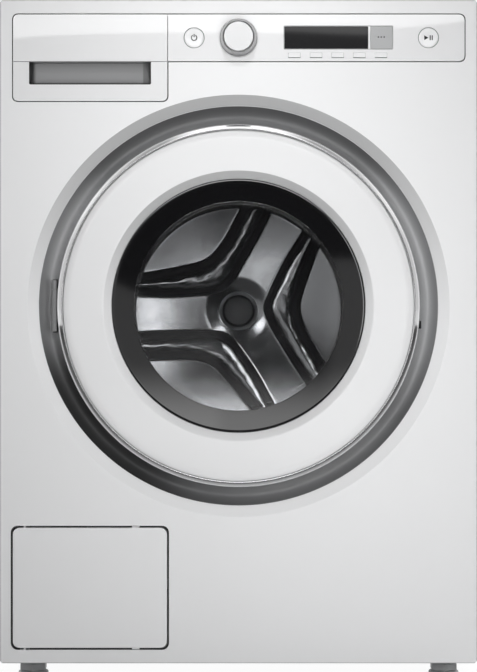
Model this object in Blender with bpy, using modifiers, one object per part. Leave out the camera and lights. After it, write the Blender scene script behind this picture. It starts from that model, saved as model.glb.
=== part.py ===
"""A free-standing front-loading washing machine, as an assembly of its separate pieces.

Metres, +Z up. The front faces -Y. The origin is the centre of the footprint, on the floor.
A place inside the machine is written as a depth: the distance behind the front panel's face.
"""

import math

import bmesh
import bpy
from mathutils import Matrix, Vector

# Overall sizes
CABINET_WIDTH = 0.595
CABINET_DEPTH = 0.585
MACHINE_HEIGHT = 0.850
CABINET_FLOOR = 0.0225
KNOB_STAND = 0.0175
SPIGOT_STAND = 0.012
OVERALL_DEPTH = KNOB_STAND + CABINET_DEPTH + SPIGOT_STAND
FRONT_Y = KNOB_STAND - OVERALL_DEPTH / 2

# Clearances and small sizes that many pieces share
SHEET = 0.001
FIT_GAP = 0.0003
RUN_GAP = 0.0005
PANEL_SEAM = 0.0008
PLASTIC_WALL = 0.0025
EDGE_ROUND = 0.0008
OVERRUN = 0.002
WELD_DISTANCE = 0.00001
AXIS_MARK = 0.024
BIG_SEGMENTS = 48
TUB_SEGMENTS = 36
MEDIUM_SEGMENTS = 24
SMALL_SEGMENTS = 12
ARC_STEPS = 3

# Cabinet
FRONT_RIM_DEPTH = 0.020
FRONT_CORNER_ROUND = 0.004
TOP_COVER_HEIGHT = 0.018
TOP_COVER_WALL = 0.0015
WRAP_FLANGE = 0.014
SERVICE_HALF_WIDTH = CABINET_WIDTH / 2 - 0.0775
SERVICE_BOTTOM = 0.175
SERVICE_TOP = MACHINE_HEIGHT - 0.125
REAR_COVER_LAP = 0.015
REAR_EMBOSS_INSET = 0.045
REAR_EMBOSS_DEPTH = 0.006
REAR_COVER_ROUND = 0.012
PAN_FLOOR = 0.002
PAN_RIM = 0.030
FOOT_BOSS_RADIUS = 0.014
FOOT_BOSS_TOP = 0.050

# Door opening
DOOR_Z = 0.4687
BEVEL_OUTER_RADIUS = 0.263
BEVEL_INNER_RADIUS = 0.250
BEVEL_DEPTH = 0.008
BEVEL_SEAT = 0.002
COVE_OUTER_RADIUS = 0.2495
COVE_INNER_RADIUS = 0.2275
COVE_OUTER_DEPTH = 0.0088
COVE_INNER_DEPTH = 0.013
COVE_SAG = 0.011
COVE_STEPS = 5
SURROUND_FLANGE_RADIUS = 0.268
SURROUND_FLANGE_DEPTH = 0.0115
LANDING_DEPTH = 0.030
LANDING_INNER_RADIUS = 0.172
GRIP_NOTCH_LEFT = 0.2262
GRIP_NOTCH_WIDTH = 0.003
GRIP_NOTCH_HEIGHT = 0.010
GRIP_NOTCH_DROP = 0.0237
GRIP_NOTCH_DEPTH = 0.008

# Door
CHROME_RADIUS = 0.226
CHROME_INNER_RADIUS = 0.2192
CHROME_STAND = 0.006
CHROME_BACK = 0.002
CHROME_ROUND = 0.0018
PANEL_RADIUS = 0.2188
PANEL_STAND = 0.0055
PANEL_ROLL_WIDTH = 0.0058
PANEL_ROLL_DEPTH = 0.0025
PANEL_BACK = 0.0018
CONE_OUTER_RADIUS = 0.1685
CONE_INNER_RADIUS = 0.1588
CONE_DEPTH = 0.010
SKIRT_DEPTH = 0.003
SKIRT_WIDTH = 0.0052
PANEL_WALL = 0.002
WINDOW_RADIUS = 0.1583
WINDOW_THICKNESS = 0.004
WINDOW_RECESS = 0.005
FRAME_RADIUS = 0.2045
FRAME_BACK = 0.024
FRAME_RIM_INSET = 0.0005
FRAME_RIM_THICKNESS = 0.0024
FRAME_SHELF_RADIUS = 0.1535
BOWL_FLANGE_RADIUS = 0.1662
BOWL_FLANGE = 0.003
BOWL_NECK_RADIUS = 0.150
BOWL_DEPTH = 0.103
BOWL_WALL = 0.0035
BOWL_SHARES = ((1.0, 0.0), (0.96, 0.14), (0.907, 0.43), (0.827, 0.82), (0.767, 0.95))

# Door hinge, on the left, and latch, on the right
HINGE_X = -0.2302
HINGE_DEPTH = 0.0025
HINGE_PIN_RADIUS = 0.0018
HINGE_BORE_GAP = 0.0004
HINGE_BARREL_RADIUS = 0.0034
HINGE_ARM_HALF = 0.020
HINGE_EAR_GAP = 0.0005
HINGE_EAR_HEIGHT = 0.0115
HINGE_EAR_WIDTH = 0.004
HINGE_LEAF = 0.0029
HINGE_LEAF_DEPTH = 0.0051
HINGE_TAB_WIDTH = 0.0032
HINGE_PLATE_LEFT = -0.250
HINGE_PLATE_RIGHT = -0.202
HINGE_PLATE_HALF = 0.045
HINGE_PLATE = 0.003
HINGE_SLOT_GAP = 0.0015
HOOK_LEFT = 0.193
HOOK_STEM = 0.006
HOOK_TIP = 0.0055
HOOK_HALF = 0.009
HOOK_REACH = 0.020
HOOK_TIP_DEPTH = 0.006
LOCK_LEFT = 0.1875
LOCK_RIGHT = 0.232
LOCK_HALF = 0.045
LOCK_DEPTH = 0.029
LOCK_SLOT_LEFT = 0.190
LOCK_SLOT_RIGHT = 0.2095
LOCK_SLOT_HALF = 0.012
LOCK_SLOT_DEPTH = 0.020

# Control fascia and what sits in it
FASCIA_LEFT = -0.0879
FASCIA_RIGHT = CABINET_WIDTH / 2 - 0.0155
FASCIA_BOTTOM = MACHINE_HEIGHT - 0.0763
FASCIA_TOP = MACHINE_HEIGHT - 0.0180
FASCIA_THICKNESS = 0.003
FASCIA_ROUND = 0.008
POWER_X = -0.0554
START_X = FASCIA_RIGHT - 0.0450
BUTTON_Z = MACHINE_HEIGHT - 0.0471
BUTTON_RADIUS = 0.0123
BUTTON_STAND = 0.0004
BUTTON_HEIGHT = 0.0038
BUTTON_GAP = 0.0004
BUTTON_STEM_RADIUS = 0.003
BUTTON_STEM = 0.012
KNOB_Z = MACHINE_HEIGHT - 0.0475
KNOB_BASE_RADIUS = 0.0233
KNOB_TOP_RADIUS = 0.0192
KNOB_SHOULDER = 0.0010
KNOB_SKIRT_STEP = 0.0019
KNOB_LIFT = 0.0006
KNOB_CAP_RADIUS = 0.0182
KNOB_CAP_ROUND = 0.0010
KNOB_CAP_BACK = 0.003
KNOB_SHAFT_RADIUS = 0.0035
DISPLAY_LEFT = 0.0573
DISPLAY_RIGHT = 0.1617
DISPLAY_BOTTOM = MACHINE_HEIGHT - 0.0607
DISPLAY_TOP = MACHINE_HEIGHT - 0.0330
EXTRAS_LEFT = 0.1644
EXTRAS_RIGHT = 0.1917
OPTION_COUNT = 5
OPTION_FIRST_X = 0.0697
OPTION_PITCH = 0.0270
OPTION_WIDTH = 0.0150
OPTION_HEIGHT = 0.0056
OPTION_Z = MACHINE_HEIGHT - 0.0686
BOARD_DEPTH = 0.022
BOARD_THICKNESS = 0.0016
BOARD_LEFT = -0.080
BOARD_RIGHT = FASCIA_RIGHT - 0.007
BOARD_BOTTOM = MACHINE_HEIGHT - 0.072
BOARD_TOP = MACHINE_HEIGHT - 0.024
STANDOFF_RADIUS = 0.003
STANDOFF_PLACES = (-0.032, 0.038, 0.214, 0.262)
BOARD_CHIP_SIZE = 0.018
BOARD_CHIP_HEIGHT = 0.004
BOARD_CHIP_PLACES = (0.070, 0.120, 0.170)

# Detergent drawer
DRAWER_LEFT = 0.0162 - CABINET_WIDTH / 2
DRAWER_RIGHT = -0.0887
DRAWER_BOTTOM = MACHINE_HEIGHT - 0.1260
DRAWER_TOP = MACHINE_HEIGHT - 0.0180
DRAWER_THICKNESS = 0.018
DRAWER_ROUND = 0.0075
GRIP_LEFT = DRAWER_LEFT + 0.0200
GRIP_RIGHT = -0.1091
GRIP_BOTTOM = MACHINE_HEIGHT - 0.1054
GRIP_TOP = MACHINE_HEIGHT - 0.0763
GRIP_DEPTH = 0.0145
GRIP_LIP = 0.006
GRIP_UNDERCUT = 0.012
GRIP_LINE = 0.0006
TRAY_SIDE_INSET = 0.0073
TRAY_FLOOR_Z = MACHINE_HEIGHT - 0.1085
TRAY_HEIGHT = 0.062
TRAY_LENGTH = 0.242
TRAY_WALL = 0.0025
TRAY_POCKET_SHARES = ((0.0, 0.33), (0.33, 0.70), (0.70, 1.0))
HOUSING_SIDE_GAP = 0.0006
HOUSING_TOP = MACHINE_HEIGHT - 0.020
HOUSING_LENGTH = 0.285

# Filter flap, pump and filter
FLAP_LEFT = 0.0158 - CABINET_WIDTH / 2
FLAP_RIGHT = -0.0892
FLAP_BOTTOM = 0.0418
FLAP_TOP = 0.1917
FLAP_SEAM = 0.0022
FLAP_THICKNESS = 0.004
FLAP_ROUND = 0.0086
FLAP_HINGE_INSET = 0.0147
FLAP_HINGE_DEPTH = 0.0032
FLAP_PIN_RADIUS = 0.0016
FLAP_PIN_REACH = 0.008
FLAP_EYE_WIDTH = 0.010
FLAP_EYE_HEIGHT = 0.006
FLAP_EYE_DEPTH = 0.0065
FLAP_EYE_LAP = 0.0004
FLAP_CLIP_X = -0.1283
FLAP_CLIP_WIDTH = 0.009
FLAP_CLIP_REACH = 0.0017
PUMP_X = -0.150
PUMP_Z = 0.090
FILTER_BORE_RADIUS = 0.0295
FILTER_HOUSING_RADIUS = 0.034
FILTER_FRONT = 0.012
FILTER_HOUSING_LENGTH = 0.098
FILTER_BODY_RADIUS = 0.0288
FILTER_BODY_LENGTH = 0.080
FILTER_CAP_RADIUS = 0.036
FILTER_CAP = 0.0034
FILTER_GRIP_LENGTH = 0.046
FILTER_GRIP_WIDTH = 0.009
FILTER_GRIP_STAND = 0.0026
VOLUTE_RADIUS = 0.045
VOLUTE_LENGTH = 0.040
PUMP_MOTOR_RADIUS = 0.030
PUMP_MOTOR_LENGTH = 0.040
PUMP_FOOT_HALF = 0.025
DRAIN_RADIUS = 0.011
DRAIN_BORE_RADIUS = 0.007
DRAIN_Z = 0.100
PIPE_HOLE_GAP = 0.0012
PIPE_BORE_DEPTH = 0.020
PUMP_INLET_RADIUS = 0.016
PUMP_ARM_RADIUS = 0.014
PUMP_INLET_TOP = 0.125

# Inlet valve
VALVE_X = 0.0725 - CABINET_WIDTH / 2
VALVE_Z = MACHINE_HEIGHT - 0.065
VALVE_BODY = 0.040
VALVE_LENGTH = 0.050
VALVE_FLANGE = 0.003
VALVE_FLANGE_SIDE = 0.052
VALVE_SPIGOT_RADIUS = 0.0132
VALVE_BORE_RADIUS = 0.008
VALVE_PIPE_RADIUS = 0.008

# Tub
TUB_RADIUS = 0.256
TUB_WALL = 0.0015
TUB_FRONT = 0.075
TUB_BACK = CABINET_DEPTH - 0.130
TUB_MOUTH_RADIUS = 0.170
HUB_RADIUS = 0.045
HUB_LENGTH = 0.036
SUMP_HALF_WIDTH = 0.046
SUMP_BOTTOM = 0.192
SUMP_TOP = 0.262
SUMP_FRONT = 0.110
SUMP_BACK = TUB_BACK - 0.025
SUMP_SPIGOT_X = -0.020
SUMP_SPIGOT_DEPTH = 0.150
SUMP_SPIGOT_RADIUS = 0.016
SUMP_SPIGOT_BORE = 0.012
SUMP_SPIGOT_REACH = 0.024
HOSE_WALL = 0.003
HOSE_LAP = 0.014
HOSE_RIBS = 4
HOSE_RIB_RISE = 0.003
WEIGHT_INNER_RADIUS = 0.200
WEIGHT_OUTER_RADIUS = 0.250
WEIGHT_THICKNESS = 0.032
WEIGHT_FROM_DEGREES = 208
WEIGHT_TO_DEGREES = 332
WEIGHT_STEPS = 14
GASKET_FRONT_RADIUS = 0.174
GASKET_BEAD_RADIUS = 0.1855
GASKET_BEAD = 0.004
GASKET_WALL = 0.0025
GASKET_LIP_RADIUS = 0.160
GASKET_FOLD_RADIUS = 0.1845
GASKET_TUB_RADIUS = 0.1715

# Heater in the sump
HEATER_ROD_RADIUS = 0.004
HEATER_HALF_SPACING = 0.022
HEATER_DEPTH = 0.140
HEATER_Z = 0.2035
HEATER_PLATE_DEPTH = SUMP_BACK + 0.0003
HEATER_PLATE = 0.004
HEATER_PLATE_HALF_WIDTH = 0.034
HEATER_PLATE_HALF_HEIGHT = 0.0085
HEATER_TERMINAL = 0.012

# Drum
DRUM_RADIUS = 0.242
DRUM_WALL = 0.0012
DRUM_FRONT = 0.086
DRUM_SHOULDER = 0.006
DRUM_MOUTH_RADIUS = 0.170
DRUM_LIP = 0.006
DRUM_BACK = TUB_BACK - 0.0265
DRUM_BACK_PLATE = 0.0015
RIB_COUNT = 3
RIB_RISE = 0.012
RIB_ROUND = 0.005
RIB_SHARES = (
    (0.33, 0.43), (0.23, 0.22), (0.145, 0.07), (0.145, -0.06), (0.24, -0.23), (0.39, -0.41),
    (0.47, -0.36), (0.50, -0.27), (0.42, -0.12), (0.39, 0.03), (0.415, 0.20), (0.46, 0.38), (0.40, 0.44),
)
HUB_CAP_RADIUS = 0.022
HUB_CAP_RISE = 0.019
HUB_CAP_FOOT = 0.003
SPIDER_HUB_RADIUS = 0.040
SPIDER_ARM_WIDTH = 0.036
SPIDER_ARM_TIP_SHARE = 0.6
SPIDER_ARM_THICKNESS = 0.014
SPIDER_ARM_REACH = 0.232
SPIDER_HUB_LENGTH = 0.022
SHAFT_RADIUS = 0.0125
SHAFT_GAP = 0.0007
LIFTER_COUNT = 3
LIFTER_FIRST_DEGREES = 90
LIFTER_BASE = 0.060
LIFTER_CREST = 0.022
LIFTER_HEIGHT = 0.044
LIFTER_LENGTH = DRUM_BACK - DRUM_FRONT - 0.0525
LIFTER_ROUND = 0.006

# Drive
PULLEY_FRONT = TUB_BACK + 0.043
PULLEY_WIDTH = 0.016
DRUM_PULLEY_RADIUS = 0.140
DRUM_PULLEY_RIM = 0.008
DRUM_PULLEY_WEB = 0.004
DRUM_PULLEY_HUB = 0.026
DRUM_PULLEY_HOLES = 5
DRUM_PULLEY_HOLE_RADIUS = 0.028
DRUM_PULLEY_HOLE_PLACE_SHARE = 0.58
MOTOR_PULLEY_RADIUS = 0.011
MOTOR_SHAFT_RADIUS = 0.006
BELT_THICKNESS = 0.003
BELT_WIDTH = 0.012
BELT_STEPS = 18
MOTOR_X = 0.110
MOTOR_Z = 0.133
MOTOR_RADIUS = 0.060
MOTOR_FRONT = PULLEY_FRONT - 0.208
MOTOR_LENGTH = 0.135
MOTOR_END_RADIUS = 0.052
MOTOR_END_LENGTH = 0.012
MOTOR_EAR_DEPTHS = (MOTOR_FRONT + 0.020, MOTOR_FRONT + 0.105)
MOTOR_EAR = 0.006
MOTOR_EAR_WIDTH = 0.050
MOTOR_EAR_TOP = 0.250
MOTOR_EAR_BOTTOM = 0.198
MOTOR_BOLT_Z = 0.209
MOTOR_BOLT_RADIUS = 0.004
MOTOR_LUG_TOP = 0.220

# Suspension
STRUT_X = CABINET_WIDTH / 2 - 0.0625
STRUT_DEPTHS = (0.150, CABINET_DEPTH - 0.185)
STRUT_RADIUS = 0.014
STRUT_BORE = 0.0100
STRUT_TOP = 0.265
SOCKET_RADIUS = 0.020
SOCKET_TOP = 0.040
ROD_RADIUS = 0.0095
ROD_BOTTOM = 0.120
CRADLE_BOTTOM = 0.322
CRADLE_TOP = 0.372
CRADLE_INNER_X = 0.206
CRADLE_OUTER_X = CABINET_WIDTH / 2 - 0.0465
CRADLE_END_LAP = 0.020

# Feet
FOOT_X = CABINET_WIDTH / 2 - 0.0355
FOOT_DEPTHS = (0.060, CABINET_DEPTH - 0.060)
FOOT_HEX_RADIUS = 0.018
FOOT_HEX_TOP = 0.0220
FOOT_HEX_BOTTOM = 0.0145
FOOT_CHAMFER = 0.002
FOOT_NECK_RADIUS = 0.011
FOOT_PAD_RADIUS = 0.019
FOOT_PAD_TOP = 0.008
FOOT_STUD_RADIUS = 0.004
FOOT_STUD_TOP = 0.064
FOOT_STUD_GAP = 0.0006

# Finishes: colour, roughness, metallic
ENAMEL = ((0.86, 0.86, 0.87), 0.30, 0.0)
GLOSS_WHITE = ((0.88, 0.88, 0.89), 0.15, 0.0)
GREY_KEY = ((0.45, 0.46, 0.47), 0.35, 0.0)
DARK_GREY = ((0.16, 0.165, 0.17), 0.45, 0.0)
BLACK_GLASS = ((0.02, 0.02, 0.022), 0.06, 0.0)
WINDOW_GLASS = ((0.05, 0.055, 0.06), 0.05, 0.0)
CHROME = ((0.80, 0.80, 0.81), 0.12, 1.0)
SATIN_SILVER = ((0.66, 0.66, 0.67), 0.30, 1.0)
STAINLESS = ((0.55, 0.55, 0.56), 0.28, 1.0)
GALVANISED = ((0.58, 0.60, 0.61), 0.45, 1.0)
ALUMINIUM = ((0.70, 0.71, 0.72), 0.40, 1.0)
RUBBER = ((0.20, 0.20, 0.205), 0.75, 0.0)
BLACK_RUBBER = ((0.03, 0.03, 0.03), 0.80, 0.0)
WHITE_PLASTIC = ((0.78, 0.78, 0.78), 0.45, 0.0)
GREY_PLASTIC = ((0.35, 0.36, 0.37), 0.50, 0.0)
CAST_IRON = ((0.20, 0.20, 0.20), 0.70, 0.0)
BOARD_GREEN = ((0.04, 0.22, 0.10), 0.45, 0.0)

WRAP_TOP = MACHINE_HEIGHT - TOP_COVER_HEIGHT
WRAP_FRONT = FRONT_RIM_DEPTH + FIT_GAP
WRAP_BACK = CABINET_DEPTH - SHEET - FIT_GAP
HALF_WIDTH = CABINET_WIDTH / 2
TOWARDS_FRONT = (math.pi / 2, 0, 0)
UPRIGHT = (0, 0, 0)


def clear_scene():
    for obj in list(bpy.data.objects):
        bpy.data.objects.remove(obj, do_unlink=True)


clear_scene()
assembly = bpy.data.collections.new("washing_machine")
cutters = bpy.data.collections.new("washing_machine_cutters")
for collection in (assembly, cutters):
    bpy.context.scene.collection.children.link(collection)


def at_depth(depth):
    """The world Y of a place this far behind the front panel's face."""
    return FRONT_Y + depth


def place(name, data, location=(0, 0, 0), rotation=UPRIGHT):
    obj = bpy.data.objects.new(name, data)
    obj.location = location
    obj.rotation_euler = rotation
    assembly.objects.link(obj)
    return obj


def box(name, x, depth, z):
    """A box between two X values, two depths and two heights."""
    low = Vector((x[0], at_depth(depth[0]), z[0]))
    high = Vector((x[1], at_depth(depth[1]), z[1]))
    shape = bmesh.new()
    bmesh.ops.create_cube(shape, size=1, matrix=Matrix.Diagonal((*(high - low), 1)))
    mesh = bpy.data.meshes.new(name)
    shape.to_mesh(mesh)
    shape.free()
    return place(name, mesh, (low + high) / 2)


def cylinder(name, radius, x, z, depths, segments=SMALL_SEGMENTS):
    """A cylinder that runs from front to back."""
    length = depths[1] - depths[0]
    shape = bmesh.new()
    bmesh.ops.create_cone(
        shape, cap_ends=True, segments=segments, radius1=radius, radius2=radius, depth=length
    )
    mesh = bpy.data.meshes.new(name)
    shape.to_mesh(mesh)
    shape.free()
    mesh.shade_smooth()
    mesh.set_sharp_from_angle(angle=math.radians(40))
    return place(name, mesh, (x, at_depth(sum(depths) / 2), z), TOWARDS_FRONT)


def post(name, radius, x, depth, heights, segments=SMALL_SEGMENTS):
    """An upright cylinder."""
    obj = cylinder(name, radius, x, 0, (0, heights[1] - heights[0]), segments)
    obj.location = (x, at_depth(depth), sum(heights) / 2)
    obj.rotation_euler = UPRIGHT
    return obj


def screw(name, points, closed, segments):
    mesh = bpy.data.meshes.new(name)
    edges = [(i, i + 1) for i in range(len(points) - 1)]
    if closed:
        edges.append((len(points) - 1, 0))
    mesh.from_pydata([(radius, 0, height) for radius, height in points], edges, [])
    obj = place(name, mesh)
    turn = obj.modifiers.new("turn", "SCREW")
    turn.steps = turn.render_steps = segments
    turn.use_merge_vertices = True
    turn.merge_threshold = WELD_DISTANCE
    return obj


def turned(name, profile, x, z, closed=True, segments=BIG_SEGMENTS):
    """A turned piece facing front. The profile holds (radius, depth), down its outer side first."""
    obj = screw(name, [(radius, -depth) for radius, depth in profile], closed, segments)
    obj.location = (x, FRONT_Y, z)
    obj.rotation_euler = TOWARDS_FRONT
    return obj


def turned_upright(name, profile, x, depth, closed=True, segments=SMALL_SEGMENTS):
    """An upright turned piece. The profile holds (radius, height), down its outer side first."""
    obj = screw(name, profile, closed, segments)
    obj.location = (x, at_depth(depth), 0)
    return obj


def rounded(corners, radius, steps=ARC_STEPS, square=()):
    """The outline through right-angled corners, each turned into an arc of this radius.

    The corners whose numbers are in square stay sharp.
    """
    points = []
    for i, corner in enumerate(corners):
        if i in square:
            points.append(tuple(corner))
            continue
        here = Vector(corner)
        back = (Vector(corners[i - 1]) - here).normalized()
        ahead = (Vector(corners[(i + 1) % len(corners)]) - here).normalized()
        centre = here + (back + ahead) * radius
        for step in range(steps + 1):
            angle = math.pi / 2 * step / steps
            points.append(centre - ahead * radius * math.cos(angle) - back * radius * math.sin(angle))
    return [tuple(point) for point in points]


def rectangle(left, right, bottom, top):
    return [(left, bottom), (right, bottom), (right, top), (left, top)]


def circle(x, z, radius, segments=SMALL_SEGMENTS):
    turns = [2 * math.pi * i / segments for i in range(segments)]
    return [(x + radius * math.cos(turn), z + radius * math.sin(turn)) for turn in turns]


def as_mesh(obj):
    """The object as a welded mesh, with the curve that it came from removed."""
    bpy.context.view_layer.update()
    graph = bpy.context.evaluated_depsgraph_get()
    mesh = bpy.data.meshes.new_from_object(obj.evaluated_get(graph))
    shape = bmesh.new()
    shape.from_mesh(mesh)
    bmesh.ops.remove_doubles(shape, verts=shape.verts, dist=WELD_DISTANCE)
    bmesh.ops.recalc_face_normals(shape, faces=shape.faces)
    shape.to_mesh(mesh)
    shape.free()
    name = obj.name
    made = bpy.data.objects.new(name + "_mesh", mesh)
    made.matrix_world = obj.matrix_world
    bpy.data.objects.remove(obj, do_unlink=True)
    made.name = name
    assembly.objects.link(made)
    return made


def plate(name, outlines, first, last, upright=False):
    """A flat piece cut to the first outline, with the others as holes.

    It runs from the first depth to the last. An upright plate lies in X and Y and runs between heights.
    """
    curve = bpy.data.curves.new(name, "CURVE")
    curve.dimensions = "2D"
    curve.fill_mode = "BOTH"
    curve.extrude = (last - first) / 2
    for outline in outlines:
        spline = curve.splines.new("POLY")
        spline.points.add(len(outline) - 1)
        for point, (across, along) in zip(spline.points, outline):
            point.co = (across, along, 0, 1)
        spline.use_cyclic_u = True
    middle = (first + last) / 2
    if upright:
        return as_mesh(place(name, curve, (0, 0, middle)))
    return as_mesh(place(name, curve, (0, at_depth(middle), 0), TOWARDS_FRONT))


def helper(obj):
    """Moves a cutter or a piece to be joined out of the assembly."""
    assembly.objects.unlink(obj)
    cutters.objects.link(obj)
    obj.hide_render = True
    obj.display_type = "WIRE"


def boolean(obj, other, operation):
    step = obj.modifiers.new(other.name, "BOOLEAN")
    step.operation = operation
    step.object = other
    step.solver = "EXACT"
    helper(other)


def cut(obj, *others):
    for other in others:
        boolean(obj, other, "DIFFERENCE")


def join(obj, *others):
    for other in others:
        boolean(obj, other, "UNION")


def soften(obj, width=EDGE_ROUND, segments=1, degrees=40):
    bevel = obj.modifiers.new("soft_edges", "BEVEL")
    bevel.width = width
    bevel.segments = segments
    bevel.limit_method = "ANGLE"
    bevel.angle_limit = math.radians(degrees)


def paint(obj, finish):
    colour, roughness, metallic = finish
    material = bpy.data.materials.new(obj.name + "_finish")
    material.use_nodes = True
    shader = material.node_tree.nodes["Principled BSDF"]
    shader.inputs["Base Color"].default_value = (*colour, 1)
    shader.inputs["Roughness"].default_value = roughness
    shader.inputs["Metallic"].default_value = metallic
    material.diffuse_color = (*colour, 1)
    obj.data.materials.clear()
    obj.data.materials.append(material)
    return obj


def axis_empty(name, x, depth, z):
    empty = bpy.data.objects.new(name, None)
    empty.location = (x, at_depth(depth), z)
    empty.empty_display_size = AXIS_MARK
    assembly.objects.link(empty)
    return empty


def carry(empty, *pieces):
    """Hangs the pieces on the empty that stands on their joint's axis."""
    bpy.context.view_layer.update()
    for piece in pieces:
        piece.parent = empty
        piece.matrix_parent_inverse = empty.matrix_world.inverted()


def cove_depth(radius):
    """The depth of the surround's cove at a radius: a sagging arc between its two edges."""
    share = (COVE_OUTER_RADIUS - radius) / (COVE_OUTER_RADIUS - COVE_INNER_RADIUS)
    edge = COVE_OUTER_DEPTH + (COVE_INNER_DEPTH - COVE_OUTER_DEPTH) * share
    return edge + COVE_SAG * math.sin(math.pi * share)


def control_cutout():
    """The stepped opening that holds the drawer front and the control fascia side by side."""
    left = DRAWER_LEFT - PANEL_SEAM
    right = FASCIA_RIGHT + PANEL_SEAM
    step = DRAWER_RIGHT + PANEL_SEAM
    top = FASCIA_TOP + PANEL_SEAM
    low = DRAWER_BOTTOM - PANEL_SEAM
    sill = FASCIA_BOTTOM - PANEL_SEAM
    corners = [(left, low), (step, low), (step, sill), (right, sill), (right, top), (left, top)]
    return rounded(corners, DRAWER_ROUND)


def front_panel():
    outer = rounded(
        rectangle(-HALF_WIDTH, HALF_WIDTH, CABINET_FLOOR, MACHINE_HEIGHT), FRONT_CORNER_ROUND
    )
    inner = rounded(
        rectangle(
            -HALF_WIDTH + SHEET, HALF_WIDTH - SHEET, CABINET_FLOOR + SHEET, MACHINE_HEIGHT - SHEET
        ),
        FRONT_CORNER_ROUND - SHEET,
    )
    door_hole = circle(0, DOOR_Z, BEVEL_OUTER_RADIUS + BEVEL_SEAT / 2, BIG_SEGMENTS)
    flap_hole = rounded(
        rectangle(
            FLAP_LEFT - FLAP_SEAM, FLAP_RIGHT + FLAP_SEAM, FLAP_BOTTOM - FLAP_SEAM, FLAP_TOP + FLAP_SEAM
        ),
        FLAP_ROUND,
    )
    panel = plate("front_panel", [outer, door_hole, control_cutout(), flap_hole], 0, SHEET)
    rim = plate("front_rim", [outer, inner], 0, FRONT_RIM_DEPTH)
    seat = BEVEL_OUTER_RADIUS + BEVEL_SEAT
    bevel = turned(
        "front_bevel",
        [
            (seat, SHEET / 4),
            (seat, SHEET * 3 / 4),
            (BEVEL_OUTER_RADIUS - SHEET / 2, SHEET),
            (BEVEL_INNER_RADIUS, BEVEL_DEPTH + SHEET),
            (BEVEL_INNER_RADIUS, BEVEL_DEPTH),
            (BEVEL_OUTER_RADIUS, 0),
            (BEVEL_OUTER_RADIUS + BEVEL_SEAT * 3 / 4, SHEET / 4),
        ],
        0,
        DOOR_Z,
    )
    join(panel, rim, bevel)
    hinge_x = FLAP_LEFT + FLAP_HINGE_INSET
    for side, edge, outward in (("top", FLAP_TOP, 1), ("bottom", FLAP_BOTTOM, -1)):
        near = edge + outward * (FLAP_SEAM + FLAP_EYE_LAP)
        far = near + outward * FLAP_EYE_HEIGHT
        span = (min(near, far), max(near, far))
        eye = box(
            f"flap_eye_{side}",
            (hinge_x - FLAP_EYE_WIDTH / 2, hinge_x + FLAP_EYE_WIDTH / 2),
            (SHEET / 2, FLAP_EYE_DEPTH),
            span,
        )
        join(panel, eye)
        hole = post(
            f"flap_eye_hole_{side}",
            FLAP_PIN_RADIUS + RUN_GAP,
            hinge_x,
            FLAP_HINGE_DEPTH,
            (span[0] - OVERRUN, span[1] + OVERRUN),
            12,
        )
        cut(panel, hole)
    return paint(panel, ENAMEL)


def cabinet_wrap():
    """One folded sheet: left side, back and right side, with a folded edge in front."""
    left, right = -HALF_WIDTH, HALF_WIDTH
    front, back = at_depth(WRAP_FRONT), at_depth(WRAP_BACK)
    flange = HALF_WIDTH - WRAP_FLANGE
    outline = [
        (-flange, front), (left, front), (left, back), (right, back), (right, front), (flange, front),
        (flange, front + SHEET), (right - SHEET, front + SHEET), (right - SHEET, back - SHEET),
        (left + SHEET, back - SHEET), (left + SHEET, front + SHEET), (-flange, front + SHEET),
    ]
    wrap = plate("cabinet_wrap", [outline], CABINET_FLOOR, WRAP_TOP - FIT_GAP, upright=True)
    around = (WRAP_BACK - SHEET - OVERRUN, WRAP_BACK + OVERRUN)
    window = box(
        "service_window", (-SERVICE_HALF_WIDTH, SERVICE_HALF_WIDTH), around, (SERVICE_BOTTOM, SERVICE_TOP)
    )
    valve_hole = cylinder(
        "valve_hole", VALVE_SPIGOT_RADIUS + PIPE_HOLE_GAP, VALVE_X, VALVE_Z, around
    )
    drain_hole = cylinder("drain_hole", DRAIN_RADIUS + PIPE_HOLE_GAP, PUMP_X, DRAIN_Z, around)
    cut(wrap, window, valve_hole, drain_hole)
    return paint(wrap, ENAMEL)


def rear_cover():
    lap = REAR_COVER_LAP
    left, right = -SERVICE_HALF_WIDTH - lap, SERVICE_HALF_WIDTH + lap
    bottom, top = SERVICE_BOTTOM - lap, SERVICE_TOP + lap
    outline = rounded(rectangle(left, right, bottom, top), REAR_COVER_ROUND)
    cover = plate("rear_cover", [outline], CABINET_DEPTH - SHEET, CABINET_DEPTH)
    inset = REAR_EMBOSS_INSET
    field = rectangle(left + inset, right - inset, bottom + inset, top - inset)
    inset += SHEET
    hollow_field = rectangle(left + inset, right - inset, bottom + inset, top - inset)
    pressed = plate(
        "rear_cover_pressing",
        [rounded(field, REAR_COVER_ROUND)],
        CABINET_DEPTH - REAR_EMBOSS_DEPTH,
        CABINET_DEPTH - SHEET / 2,
    )
    hollow = plate(
        "rear_cover_hollow",
        [rounded(hollow_field, REAR_COVER_ROUND - SHEET)],
        CABINET_DEPTH - REAR_EMBOSS_DEPTH + SHEET,
        CABINET_DEPTH + OVERRUN,
    )
    join(cover, pressed)
    cut(cover, hollow)
    return paint(cover, GALVANISED)


def top_cover():
    front, back = WRAP_FRONT, CABINET_DEPTH
    cover = box("top_cover", (-HALF_WIDTH, HALF_WIDTH), (front, back), (WRAP_TOP, MACHINE_HEIGHT))
    wall = TOP_COVER_WALL
    inside = box(
        "top_cover_inside",
        (-HALF_WIDTH + wall, HALF_WIDTH - wall),
        (front + wall, back - wall),
        (WRAP_TOP - OVERRUN, MACHINE_HEIGHT - wall),
    )
    cut(cover, inside)
    soften(cover, wall / 3)
    return paint(cover, ENAMEL)


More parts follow.
